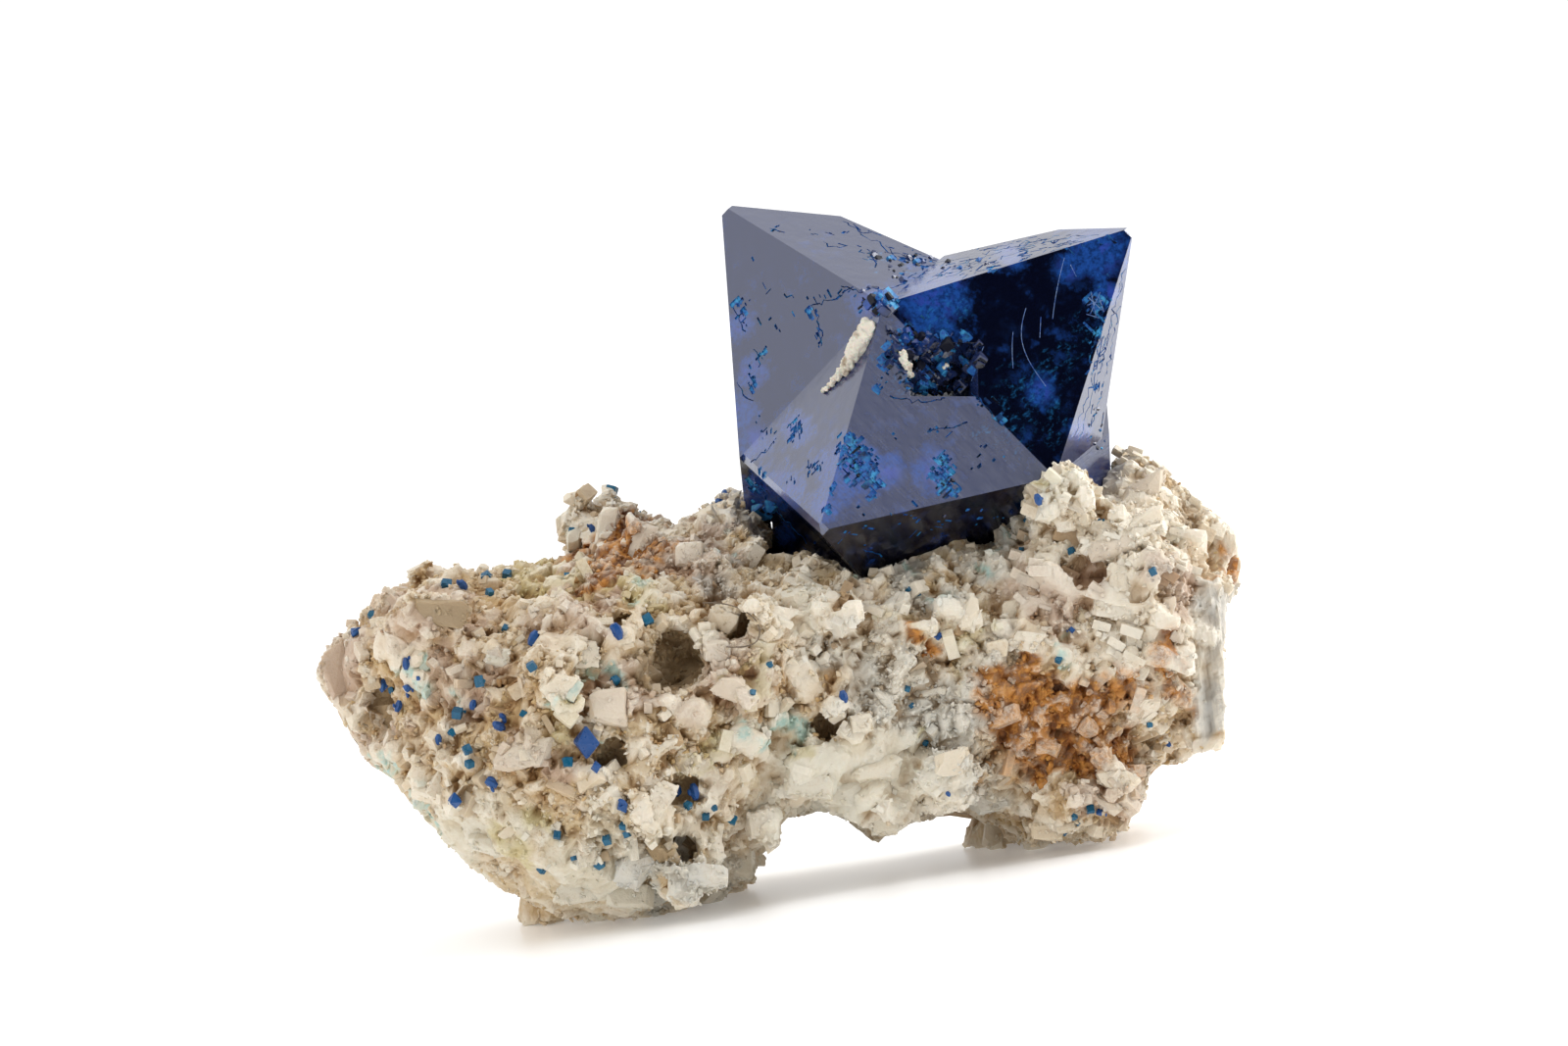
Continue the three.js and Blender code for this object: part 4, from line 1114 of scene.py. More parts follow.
class MatrixLook(bpy.types.PropertyGroup):
    """Sizes and colours of the rock"""

    voxel: bpy.props.FloatProperty(
        name="Surface step", description="Distance between the rock's surface points",
        default=0.16 * MM, min=0.1 * MM, max=1.0 * MM, unit="LENGTH", precision=5)
    blocks: bpy.props.IntProperty(
        name="Grown crystals", description="How many pale crystals stand half sunk in the rock",
        default=800, min=1)
    crystals: bpy.props.IntProperty(
        name="Pale crystals", description="How many crisp pale crystals stud the rock",
        default=2400, min=1)
    grains: bpy.props.IntProperty(
        name="Grains", description="How many sugary grains each layer of them has",
        default=8500, min=1)
    points: bpy.props.IntProperty(
        name="Druse points", description="How many fine pointed crystals line the grey places",
        default=4200, min=1)
    cream: bpy.props.FloatVectorProperty(
        name="Cream", description="The rock's main colour", default=(0.64, 0.50, 0.305), subtype="COLOR")
    white: bpy.props.FloatVectorProperty(
        name="White", description="The paler crystals", default=(0.80, 0.72, 0.59), subtype="COLOR")
    # Also lightens the rock's convex tops as a painted highlight, and the pale spots, some of them painted
    # light.
    pale: bpy.props.FloatVectorProperty(
        name="Dust", description="Fine pale bloom", default=(0.88, 0.82, 0.70), subtype="COLOR")
    # Also the tint of the painted shade in the rock's creases.
    tan: bpy.props.FloatVectorProperty(
        name="Tan", description="Earthy stain", default=(0.56, 0.375, 0.17), subtype="COLOR")
    pink: bpy.props.FloatVectorProperty(
        name="Pink", description="Pinkish crystals", default=(0.50, 0.355, 0.27), subtype="COLOR")
    green: bpy.props.FloatVectorProperty(
        name="Green", description="Greenish white crust", default=(0.74, 0.72, 0.61), subtype="COLOR")
    grey: bpy.props.FloatVectorProperty(
        name="Grey", description="Grey sparkling band", default=(0.58, 0.58, 0.54), subtype="COLOR")
    rust: bpy.props.FloatVectorProperty(
        name="Rust", description="Dark part of the rusty patch",
        default=(0.22, 0.075, 0.012), subtype="COLOR")
    ochre: bpy.props.FloatVectorProperty(
        name="Ochre", description="Light part of the rusty patch",
        default=(0.60, 0.27, 0.055), subtype="COLOR")
    teal: bpy.props.FloatVectorProperty(
        name="Teal stain", description="Faint copper stain", default=(0.40, 0.62, 0.57), subtype="COLOR")
    yellow: bpy.props.FloatVectorProperty(
        name="Yellow", description="Yellow-green crust", default=(0.60, 0.52, 0.24), subtype="COLOR")
    slab: bpy.props.FloatVectorProperty(
        name="Slab", description="Grey of the streaked slab", default=(0.46, 0.45, 0.42), subtype="COLOR")
    hollow: bpy.props.FloatVectorProperty(
        name="Hollows", description="Brown inside the vugs", default=(0.40, 0.30, 0.17), subtype="COLOR")
    # The tint of the painted shade in the rock's seams, block corners and broad hollows; the brown crystals
    # take it as part of their own colour.
    seam: bpy.props.FloatVectorProperty(
        name="Seams", description="Dirt between the crystals", default=(0.56, 0.42, 0.26), subtype="COLOR")


class StarLook(bpy.types.PropertyGroup):
    """Sizes and colours of the blue crystals and the white bits"""

    bevel: bpy.props.FloatProperty(
        name="Edge wear", description="Width of the worn edges of the big crystals",
        default=0.05 * MM, min=0.0, unit="LENGTH", precision=5)
    navy: bpy.props.FloatVectorProperty(
        name="Navy", description="Darkest blue", default=(0.001, 0.002, 0.010), subtype="COLOR")
    deep: bpy.props.FloatVectorProperty(
        name="Deep blue", description="Body colour", default=(0.013, 0.024, 0.088), subtype="COLOR")
    royal: bpy.props.FloatVectorProperty(
        name="Royal blue", description="Blue clouds", default=(0.014, 0.075, 0.34), subtype="COLOR")
    violet: bpy.props.FloatVectorProperty(
        name="Violet", description="Violet clouds", default=(0.035, 0.062, 0.38), subtype="COLOR")
    turquoise: bpy.props.FloatVectorProperty(
        name="Turquoise", description="Flecks and etched places",
        default=(0.02, 0.17, 0.42), subtype="COLOR")
    glint: bpy.props.FloatVectorProperty(
        name="Glint", description="Palest crumbs of the etched places",
        default=(0.05, 0.32, 0.58), subtype="COLOR")
    small_royal: bpy.props.FloatVectorProperty(
        name="Small royal", description="Small royal blue crystals",
        default=(0.006, 0.060, 0.23), subtype="COLOR")
    small_teal: bpy.props.FloatVectorProperty(
        name="Small teal", description="Small teal crystals", default=(0.004, 0.095, 0.19), subtype="COLOR")
    chalk: bpy.props.FloatVectorProperty(
        name="Chalk", description="White bits", default=(0.72, 0.68, 0.58), subtype="COLOR")
    pore: bpy.props.FloatVectorProperty(
        name="Pores", description="Pores of the white bits", default=(0.35, 0.27, 0.18), subtype="COLOR")
    healed: bpy.props.FloatVectorProperty(
        name="Healed cracks", description="Thin pale lines on the right crystal",
        default=(0.22, 0.32, 0.5), subtype="COLOR")
    lint: bpy.props.FloatVectorProperty(
        name="Lint", description="The fibre caught on the rock",
        default=(0.22, 0.17, 0.12), subtype="COLOR")


class StageLook(bpy.types.PropertyGroup):
    """Floor, light and camera"""

    floor: bpy.props.FloatVectorProperty(
        name="Floor", description="Colour of the floor", default=(0.97, 0.97, 0.97), subtype="COLOR")
    sky: bpy.props.FloatProperty(
        name="Fill", description="Strength of the light from all round", default=1.05, min=0.0)
    key: bpy.props.FloatProperty(
        name="Key", description="Power of the main soft light", default=0.45, min=0.0, unit="POWER")
    distance: bpy.props.FloatProperty(
        name="Camera distance", description="From the camera to the specimen",
        default=0.5, min=0.1, unit="LENGTH")


class SpecimenSettings(bpy.types.PropertyGroup):
    """All settings of the specimen"""

    rock: bpy.props.PointerProperty(type=MatrixLook)
    star: bpy.props.PointerProperty(type=StarLook)
    stage: bpy.props.PointerProperty(type=StageLook)


def star_tree():
    return tree_of(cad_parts["cumengeite_cluster"].data)


def rock_piece():
    piece = bpy.data.objects.get("rock_surface")
    if piece is None:
        raise RuntimeError("the rock comes before what grows on it")
    return piece


class SPECIMEN_OT_rock(bpy.types.Operator):
    """Grow the rock's surface over its solid"""

    bl_idname = "specimen.rock"
    bl_label = "Rock"

    def execute(self, context):
        look = context.scene.specimen.rock
        rng = np.random.default_rng(21)
        star = star_tree()
        blocks, owners, tones = grown_blocks(look, star, rng)
        mesh = remeshed([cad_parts["matrix_rock"].data, blocks], look.voxel)
        points = coordinates(mesh)
        normals = normals_of(mesh)
        weights = zone_weights(points)
        points = kept_in_outline(filled(mesh, points, normals, weights), OUTLINE_SLACK["rock"])
        crystal, crystal_tone, corner = on_blocks(points, blocks, owners, tones)
        bpy.data.meshes.remove(blocks)
        relief, tone, seam = rock_relief(points, weights, crystal, look.voxel, rng)
        ragged = 3 + 2 * ripple(points, 0.5 * MM, 15)
        points = kept_in_outline(points + normals * relief[:, None], ragged)
        points = within_box(below_shown_edge(close_to_star(points, star), star), BOX_SLACK)
        mesh.materials.clear()
        move_vertices(mesh, points)
        facing = normals_of(mesh)
        # Hill and basin measure how far each point stands out of its near and its wider surroundings; the
        # finish paints shade where they are low and a highlight where hill is high.
        near = evened(mesh, points, 16)
        far = evened(mesh, near, 110)
        hill = np.einsum("ij,ij->i", points - near, facing) / (0.14 * MM)
        basin = np.einsum("ij,ij->i", points - far, facing) / (0.45 * MM)
        # The seam number sets painted shade in the seams and, at 0.7, in the corner round each grown block.
        paint_rock(mesh, weights, {
            "tone": tone + (crystal_tone - tone) * crystal,
            "seam": np.maximum(seam * (1 - crystal), 0.7 * corner * (1 - crystal)),
            "hill": hill,
            "basin": basin,
            "crystal": crystal,
        })
        mesh.materials.append(rock_finish("matrix_surface", look))
        piece = new_piece("rock_surface", mesh)
        mesh.shade_flat()
        settle(piece, "matrix", "matrix_rock")
        return {"FINISHED"}


def clear_of_star(star, point, reach):
    return star.find_nearest(Vector(point), reach)[0] is None


def grow_on(ground, name, shapes, picks, look, crystal=0.0):
    """Makes one piece from placements on another piece and paints it as that one is there."""
    placements, sources, tones = picks
    mesh, owners = joined(name, shapes, placements)
    points = kept_in_outline(coordinates(mesh), OUTLINE_SLACK["grains"])
    move_vertices(mesh, within_box(points, BOX_SLACK + GRAIN_SLACK))
    numbers = {}
    for number in ROCK_NUMBERS:
        numbers[number] = read_number(ground.data, number)[np.array(sources)][owners]
    own_tone = np.array(tones)[owners]
    numbers["tone"] = 0.5 * numbers["tone"] + 0.5 * own_tone
    numbers["tan"] = np.maximum(numbers["tan"], (1 - crystal) * smooth_step(0.45, 0.2, own_tone))
    numbers["crystal"] = np.full(len(own_tone), crystal)
    # Grains take less of the painted shade in the seams.
    numbers["seam"] = 0.4 * numbers["seam"]
    # A higher hill lifts grains and crystals out of the painted crease shade and into the painted highlight
    # on the tops.
    numbers["hill"] = numbers["hill"] + 0.3 + 0.3 * crystal
    paint_rock(mesh, {}, numbers)
    mesh.materials.append(rock_finish(name + "_look", look, 0.6))
    settle(new_piece(name, mesh), "matrix")


def grain_layer(name, look, smallest, largest, rng):
    """One layer of sugary grains between two sizes, crowded in some places and thin in others."""
    rock = rock_piece().data
    star = star_tree()
    places, normals, sources = sample_surface(rock, look.grains * 3, rng)
    weights = zone_weights(places)
    crowding = ripple(places, 2.0 * MM, 31)
    held = read_number(rock, "crystal")
    shapes = [grain_shape(rng) for _ in range(10)]
    placements, kept, tones = [], [], []
    for index, place in enumerate(places):
        if len(placements) >= look.grains:
            break
        bare = max(0.9 * weights["smooth"][index], weights["slab"][index], 0.85 * held[sources[index]])
        if rng.random() < bare or rng.random() > 0.7 + 0.5 * crowding[index]:
            continue
        if place[2] < 0.1 * MM or not clear_of_star(star, place, 0.08 * MM):
            continue
        size = smallest + (largest - smallest) * rng.random() ** 2
        scale = np.array([1.0, rng.uniform(0.7, 1.0), rng.uniform(0.6, 1.0)]) * size
        middle = place + normals[index] * size * 0.3
        placements.append((rng.integers(len(shapes)), turn_to(normals[index], rng, 0.8), scale, middle))
        kept.append(sources[index])
        tones.append(rng.random())
    grow_on(rock_piece(), name, shapes, (placements, kept, tones), look)


def laid(place, normal, seen, rng):
    """How a pale crystal lies: in tilted rows at the right of the front, and any way elsewhere."""
    if seen[0] > TILTED_ROWS[0] and seen[1] < TILTED_ROWS[1] and seen[2] > TILTED_ROWS[2]:
        rows = Matrix.Rotation(math.radians(24) + rng.normal() * 0.2, 3, "Y")
        return np.array(LEAN @ rows @ Matrix.Rotation(rng.normal() * 0.2, 3, "X"))
    return turn_to(normal, rng, 0.7)


class SPECIMEN_OT_pale_crystals(bpy.types.Operator):
    """Stud the rock with crisp pale crystals"""

    bl_idname = "specimen.pale_crystals"
    bl_label = "Pale crystals"

    def execute(self, context):
        look = context.scene.specimen.rock
        rng = np.random.default_rng(22)
        rock = rock_piece().data
        star = star_tree()
        places, normals, sources = sample_surface(rock, look.crystals * 5, rng)
        weights = zone_weights(places)
        seen = in_front_view(places)
        gathered = ripple(places, 1.5 * MM, 32)
        shapes = [block_shape(rng, 0.14) for _ in range(12)] + [point_shape(rng) for _ in range(4)]
        placements, kept, tones = [], [], []
        for index, place in enumerate(places):
            if len(placements) >= look.crystals:
                break
            spot = {zone: weights[zone][index] for zone in ("smooth", "slab", "rust", "grey", "hollow")}
            stained = 0.6 * max(spot["rust"], spot["grey"])
            bare = max(0.93 * spot["smooth"], spot["slab"], stained, spot["hollow"])
            if rng.random() < bare or rng.random() > 0.45 + 0.6 * gathered[index]:
                continue
            if place[2] < 0.3 * MM or not clear_of_star(star, place, 0.25 * MM):
                continue
            size = (0.08 + (0.24 - 0.1 * max(0.0, normals[index][2])) * rng.random() ** 2.4) * MM
            scale = np.array([rng.uniform(0.9, 1.9), rng.uniform(0.6, 1.0), rng.uniform(0.5, 0.9)]) * size
            turn = laid(place, normals[index], seen[index], rng)
            placements.append((rng.integers(len(shapes)), turn, scale, place - normals[index] * size * 0.1))
            kept.append(sources[index])
            tones.append(0.3 + 0.7 * rng.random())
        grow_on(rock_piece(), "pale_crystals", shapes, (placements, kept, tones), look, 0.7)
        return {"FINISHED"}


def crumbs_on(piece, look, rng):
    """Strews crumbs over the marked crystals, thick in some places and none in others."""
    places, normals, sources = sample_surface(piece.data, CRUMB_TRIES, rng)
    patches = ripple(places, 0.8 * MM, 33)
    shapes = [grain_shape(rng) for _ in range(8)]
    placements, kept, tones = [], [], []
    for index, place in enumerate(places):
        if rng.random() > 0.35 + 0.6 * patches[index]:
            continue
        size = (0.035 + 0.085 * rng.random() ** 2) * MM
        placements.append((rng.integers(len(shapes)), turn_to(normals[index], rng, 0.8), [size] * 3, place))
        kept.append(sources[index])
        tones.append(rng.random())
    grow_on(piece, "crumbs", shapes, (placements, kept, tones), look)


class SPECIMEN_OT_marked_crystals(bpy.types.Operator):
    """Set the big pale crystals and smooth lumps that stand out from the rock"""

    bl_idname = "specimen.marked_crystals"
    bl_label = "Big pale crystals"

    def execute(self, context):
        look = context.scene.specimen.rock
        rng = np.random.default_rng(28)
        tree = tree_of(rock_piece().data)
        shapes = [worn_shape(rng) for _ in range(8)]
        placements, kinds = [], []
        for px, py, reach_x, reach_y, tilt, kind in MARKED_CRYSTALS:
            hit, _ = met_from_front(tree, px, py)
            if hit is None:
                continue
            scale = np.array([reach_x, 0.9 * min(reach_x, reach_y), reach_y]) * MM_PER_PIXEL * MM
            turn = LEAN @ Matrix.Rotation(math.radians(tilt), 3, "Y")
            turn = turn @ Matrix.Rotation(rng.normal() * 0.15, 3, "X")
            middle = hit + np.array(AWAY) * 0.5 * scale[1]
            placements.append((rng.integers(len(shapes)), np.array(turn), scale, middle))
            kinds.append(kind)
        mesh, owners = joined("marked_crystals", shapes, placements)
        points = kept_in_outline(coordinates(mesh), OUTLINE_SLACK["marked"])
        move_vertices(mesh, within_box(points, BOX_SLACK + GRAIN_SLACK))
        numbers = {number: np.zeros(len(owners)) for number in ROCK_NUMBERS}
        numbers["tone"] = rng.uniform(0.3, 0.9, size=len(kinds))[owners]
        for owner, kind in enumerate(kinds):
            for number, value in KINDS[kind].items():
                numbers[number][owners == owner] = value
        paint_rock(mesh, {}, numbers)
        mesh.materials.append(rock_finish("marked_crystal_look", look, 0.6))
        piece = new_piece("marked_crystals", mesh)
        settle(piece, "matrix")
        crumbs_on(piece, look, rng)
        return {"FINISHED"}


class SPECIMEN_OT_grains(bpy.types.Operator):
    """Strew the rock with sugary grains"""

    bl_idname = "specimen.grains"
    bl_label = "Sugary grains"

    def execute(self, context):
        look = context.scene.specimen.rock
        rng = np.random.default_rng(23)
        grain_layer("sugary_grains", look, 0.07 * MM, 0.17 * MM, rng)
        grain_layer("fine_grains", look, 0.04 * MM, 0.09 * MM, rng)
        return {"FINISHED"}


class SPECIMEN_OT_druse(bpy.types.Operator):
    """Line the grey places with fine pointed crystals"""

    bl_idname = "specimen.druse"
    bl_label = "Druse"

    def execute(self, context):
        look = context.scene.specimen.rock
        rng = np.random.default_rng(24)
        rock = rock_piece().data
        star = star_tree()
        places, normals, sources = sample_surface(rock, look.points * 8, rng)
        weights = zone_weights(places)
        shapes = [point_shape(rng) for _ in range(6)]
        placements, kept, tones = [], [], []
        for index, place in enumerate(places):
            if len(placements) >= look.points:
                break
            if rng.random() > weights["druse"][index] + 0.08:
                continue
            if place[2] < 0.2 * MM or not clear_of_star(star, place, 0.1 * MM):
                continue
            size = (0.05 + 0.07 * rng.random() ** 2) * MM
            scale = np.array([1.0, 1.0, rng.uniform(1.2, 1.9)]) * size
            placements.append((rng.integers(len(shapes)), turn_to(normals[index], rng, 0.45), scale, place))
            kept.append(sources[index])
            tones.append(rng.random())
        grow_on(rock_piece(), "druse_points", shapes, (placements, kept, tones), look)
        return {"FINISHED"}


def bevelled_star(look):
    """The big crystals from their solid, with clean faces and worn edges."""
    mesh = bmesh.new()
    mesh.from_mesh(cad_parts["cumengeite_cluster"].data)
    bmesh.ops.remove_doubles(mesh, verts=mesh.verts, dist=0.002 * MM)
    bmesh.ops.dissolve_limit(mesh, angle_limit=math.radians(0.6), verts=mesh.verts, edges=mesh.edges)
    sharp = []
    for edge in mesh.edges:
        if len(edge.link_faces) == 2 and edge.calc_face_angle() > math.radians(12):
            sharp.append(edge)
    bmesh.ops.bevel(
        mesh, geom=sharp, offset=look.bevel, segments=2, profile=0.6, affect="EDGES", clamp_overlap=True)
    made = bpy.data.meshes.new("cumengeite_star")
    mesh.to_mesh(made)
    mesh.free()
    return made


def along_face(normal, rng):
    """A turn with z on the normal and x along one of the star's edges."""
    way = np.array(LEAN) @ STAR_ARMS[rng.integers(3)]
    way = way - np.dot(way, normal) * normal
    way /= np.linalg.norm(way)
    return np.stack([way, np.cross(normal, way), normal], axis=1)


def etch_pits(star, shapes, rng):
    """Places for slots sunk into the faces of the big crystals at the etched places."""
    placements = []
    for px, py, reach_x, reach_y, count, longest in ETCHED:
        for _ in range(count):
            spot = rng.normal(size=2) * 0.6
            hit, normal = met_from_front(star, px + spot[0] * reach_x, py + spot[1] * reach_y)
            if hit is None:
                continue
            length = 0.05 + (longest - 0.05) * rng.random() ** 2
            scale = np.array([length, rng.uniform(0.02, 0.055), rng.uniform(0.03, 0.1)]) * MM
            placements.append((rng.integers(len(shapes)), along_face(normal, rng), scale, hit))
    return placements


def patch_slots(star, shapes, rng):
    """Places for broad shallow slots that crowd together in the etched patches, along the star's arms."""
    placements = []
    for px, py, reach in ETCHED_PATCHES:
        for _ in range(max(6, round(PITS_PER_REACH * reach * reach))):
            spot = rng.normal(size=2) * 0.5 * reach
            hit, normal = met_from_front(star, px + spot[0], py + spot[1])
            if hit is None:
                continue
            scale = rng.uniform((0.05, 0.03, 0.02), (0.22, 0.12, 0.08)) * MM
            placements.append((rng.integers(len(shapes)), along_face(normal, rng), scale, hit))
    return placements


def hidden_slots(shapes, rng):
    """Places for small clusters of slots on the faces that look away from the viewer."""
    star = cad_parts["cumengeite_cluster"].data
    places, _, _ = sample_surface(star, HIDDEN_PATCHES, rng)
    tree = tree_of(star)
    placements = []
    for place in places:
        normal = np.array(tree.find_nearest(Vector(place))[1])
        if np.dot(normal, np.array(LEAN)[:, 1]) < 0.1:
            continue
        turn = along_face(normal, rng)
        for _ in range(rng.integers(6, 22)):
            spot = turn[:, :2] @ rng.normal(size=2) * 0.3 * MM
            scale = rng.uniform((0.05, 0.02, 0.02), (0.25, 0.1, 0.08)) * MM
            placements.append((rng.integers(len(shapes)), along_face(normal, rng), scale, place + spot))
    return placements


def ragged_route(route, step, wander, rng):
    """Pixels along a route, a step apart, that wander from side to side."""
    spots = [np.array(route[0], dtype=float)]
    for start, end in zip(route, route[1:]):
        start, end = np.array(start, dtype=float), np.array(end, dtype=float)
        count = max(1, round(np.linalg.norm(end - start) / step))
        for index in range(1, count + 1):
            spots.append(start + (end - start) * index / count + rng.normal(size=2) * wander)
    return spots


def crack_slots(star, shapes, rng):
    """Places for a chain of narrow slots along each crack."""
    placements = []
    for route in CRACKS:
        spots = ragged_route(route, 4.0, 1.1, rng)
        for first, second in zip(spots, spots[1:]):
            start = met_from_front(star, *first)
            end = met_from_front(star, *second)
            if start[0] is None or end[0] is None or np.linalg.norm(end[0] - start[0]) > 0.5 * MM:
                continue
            normal = start[1]
            way = end[0] - start[0]
            way -= np.dot(way, normal) * normal
            length = np.linalg.norm(way)
            turn = np.stack([way / length, np.cross(normal, way / length), normal], axis=1)
            scale = (0.62 * length, rng.uniform(0.012, 0.035) * MM, rng.uniform(0.05, 0.09) * MM)
            placements.append((rng.integers(len(shapes)), turn, scale, (start[0] + end[0]) / 2))
    return placements


def mark_star(mesh, star, sunk=None):
    """Writes each point's place in the star and the view, and its depth; marks the faces turned to the
    viewer or downward for painted shade.
    """
    points = coordinates(mesh)
    seen = in_front_view(points)
    write_vector(mesh, "front_view", seen)
    write_vector(mesh, "star", (seen - np.array(STAR_CENTRE)) @ STAR_ARMS.T)
    depth = [star.find_nearest(Vector(point))[3] / MM for point in points] if sunk is None else sunk
    write_number(mesh, "depth", depth)
    normals = np.empty(len(mesh.polygons) * 3, dtype=np.float32)
    mesh.polygons.foreach_get("normal", normals)
    ways = normals.reshape(-1, 3) @ np.array(LEAN)
    # Faces turned straight to the viewer or downward are marked for painted shade.
    painted_face_shade = np.maximum(smooth_step(0.93, 0.98, -ways[:, 1]), smooth_step(0.4, 0.6, -ways[:, 2]))
    layer = mesh.attributes.new("shaded_face", "FLOAT", "FACE")
    layer.data.foreach_set("value", painted_face_shade.astype(np.float32))
    return painted_face_shade


def share_out_finishes(mesh, painted_face_shade):
    """Gives the faces marked as shaded a darker, less glossy copy of the finish, which paints shade on them,
    and the block in the notch the etched one.
    """
    px, py = to_pixels(np.array([face.center[:] for face in mesh.polygons]))
    dull = np.hypot(px - NOTCH_BLOCK[0], py - NOTCH_BLOCK[1]) < NOTCH_BLOCK[2]
    for face, face_shade_share, is_dull in zip(mesh.polygons, painted_face_shade, dull):
        if is_dull:
            face.material_index = mesh.materials.find("etched_crystal")
        elif face_shade_share > 0.5 and face.material_index == 0:
            face.material_index = mesh.materials.find("shaded_blue_crystal")


class SPECIMEN_OT_star(bpy.types.Operator):
    """Finish the star of big blue crystals"""

    bl_idname = "specimen.star"
    bl_label = "Blue star"

    def execute(self, context):
        look = context.scene.specimen.star
        rng = np.random.default_rng(25)
        star = star_tree()
        piece = new_piece("cumengeite_star", bevelled_star(look))
        piece.data.materials.clear()
        piece.data.materials.append(star_finish(look, "deep_blue_crystal", BRIGHT_GLOSS))
        shapes = [blade_shape(rng) for _ in range(8)]
        cuts = etch_pits(star, shapes, rng) + crack_slots(star, shapes, rng)
        cuts += patch_slots(star, shapes, rng) + hidden_slots(shapes, rng)
        cutter = new_piece("etch_pits", joined("etch_pits", shapes, cuts)[0])
        cutter.data.materials.append(etched_finish(look))
        cut = piece.modifiers.new("Pits", "BOOLEAN")
        cut.material_mode = "TRANSFER"
        cut.operation = "DIFFERENCE"
        cut.object = cutter
        cut.solver = "EXACT"
        cut.use_self = True
        mesh = applied(piece)
        piece.modifiers.clear()
        piece.data = mesh
        bpy.data.objects.remove(cutter)
        painted_face_shade = mark_star(mesh, star)
        # The darker, less glossy copy of the finish paints shade on the faces marked as shaded.
        mesh.materials.append(star_finish(look, "shaded_blue_crystal", SHADED_GLOSS))
        share_out_finishes(mesh, painted_face_shade)
        mesh.shade_flat()
        settle(piece, "deep_blue_crystal", "cumengeite_cluster")
        return {"FINISHED"}


class SPECIMEN_OT_overgrowth(bpy.types.Operator):
    """Crowd small blue crystals in the star's notches and on its steps"""

    bl_idname = "specimen.overgrowth"
    bl_label = "Overgrowth"

    def execute(self, context):
        rng = np.random.default_rng(27)
        star = star_tree()
        shapes = [block_shape(rng, 0.3) for _ in range(5)] + [double_pyramid_shape(rng) for _ in range(2)]
        placements, sunk = [], []
        for px, py, reach_x, reach_y, count, largest in CROWDED:
            for _ in range(count):
                spot = rng.uniform(-1, 1, size=2)
                hit, normal = met_from_front(star, px + spot[0] * reach_x, py + spot[1] * reach_y)
                if hit is None:
                    continue
                size = largest * rng.uniform(0.35, 1.0) * MM
                turn = np.array(LEAN) @ STAR_ARMS.T @ turn_to((0, 0, 1), rng, 0.12)
                scale = size * rng.uniform(0.5, 1.0, size=3)
                placements.append((rng.integers(len(shapes)), turn, scale, hit - normal * size * 0.4))
                sunk.append(rng.choice([0.0, 0.1], p=[0.6, 0.4]))
        mesh, owners = joined("overgrowth", shapes, placements)
        mark_star(mesh, star, np.array(sunk)[owners])
        # Half the small crystals, at random, take the etched finish; the rest take the darker, less glossy
        # copy that paints shade.
        for name in ("shaded_blue_crystal", "etched_crystal"):
            mesh.materials.append(bpy.data.materials[name])
        dull = rng.random(len(placements)) < 0.5
        for face in mesh.polygons:
            face.material_index = int(dull[owners[face.vertices[0]]])
        settle(new_piece("overgrowth", mesh), "deep_blue_crystal")
        return {"FINISHED"}


def seat(tree, middle):
    """The place on the rock nearest to a point, and the rock's normal there."""
    hit, normal, _, _ = tree.find_nearest(Vector(middle))
    return np.array(hit), np.array(normal)


def lie_of(node):
    """A small solid's middle and its mean reach."""
    corners = coordinates(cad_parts[node].data)
    middle = (corners.max(axis=0) + corners.min(axis=0)) / 2
    return middle, (corners.max(axis=0) - corners.min(axis=0)).mean() / 2


def as_barrel(node, rng):
    """How a barrel stands in the place of a royal blue solid, more or less upright in the front view."""
    middle, reach = lie_of(node)
    tilt = Matrix.Rotation(rng.normal() * 0.6, 3, "Y") @ Matrix.Rotation(rng.normal() * 0.35, 3, "X")
    turn = np.array(LEAN @ tilt @ Matrix.Rotation(rng.uniform(0, math.pi), 3, "Z"))
    return middle, turn, rng.uniform((0.95, 0.95, 1.0), (1.15, 1.15, 1.2)) * reach


def as_cube(node, rng):
    """How a cube sits in the place of a teal solid."""
    middle, reach = lie_of(node)
    turn = LEAN @ Matrix.Rotation(rng.uniform(-1, 1), 3, "X")
    turn = turn @ Matrix.Rotation(rng.uniform(-1, 1), 3, "Y")
    scale = np.array([1.0, rng.uniform(0.85, 1.0), rng.uniform(0.9, 1.1)])
    return middle, np.array(turn), scale * reach * 0.76


def companions(turn, scale, place, rng):
    """Smaller crystals grown against one side of a crystal."""
    for _ in range(rng.integers(1, 3)):
        share = rng.uniform(0.35, 0.65)
        aside = turn @ (rng.normal(size=3) * scale * 0.55)
        tipped = turn @ turn_to((0, 0, 1), rng, 0.5)
        yield tipped, scale * share, place + aside


def small_crystals(name, lies, extra, shapes, finish, slot, rng):
    """One piece from the small crystals of one kind, each seated on the rock's surface."""
    tree = tree_of(rock_piece().data)
    placements = []
    for middle, turn, scale in lies.values():
        place, normal = seat(tree, middle)
        place = place + normal * scale.mean() * SEAT_LIFT
        placements.append((rng.integers(len(shapes)), turn, scale, place))
        for beside in companions(turn, scale, place, rng):
            placements.append((rng.integers(len(shapes)), *beside))
    for place, normal, size in extra:
        scale = np.array([1.0, rng.uniform(0.8, 1.0), rng.uniform(0.85, 1.2)]) * size
        middle = place + normal * size * SEAT_LIFT
        placements.append((rng.integers(len(shapes)), turn_to(normal, rng, 0.5), scale, middle))
    mesh, owners = joined(name, shapes, placements)
    write_number(mesh, "tone", rng.random(len(placements))[owners])
    mesh.materials.append(finish)
    settle(new_piece(name, mesh), slot, *lies)


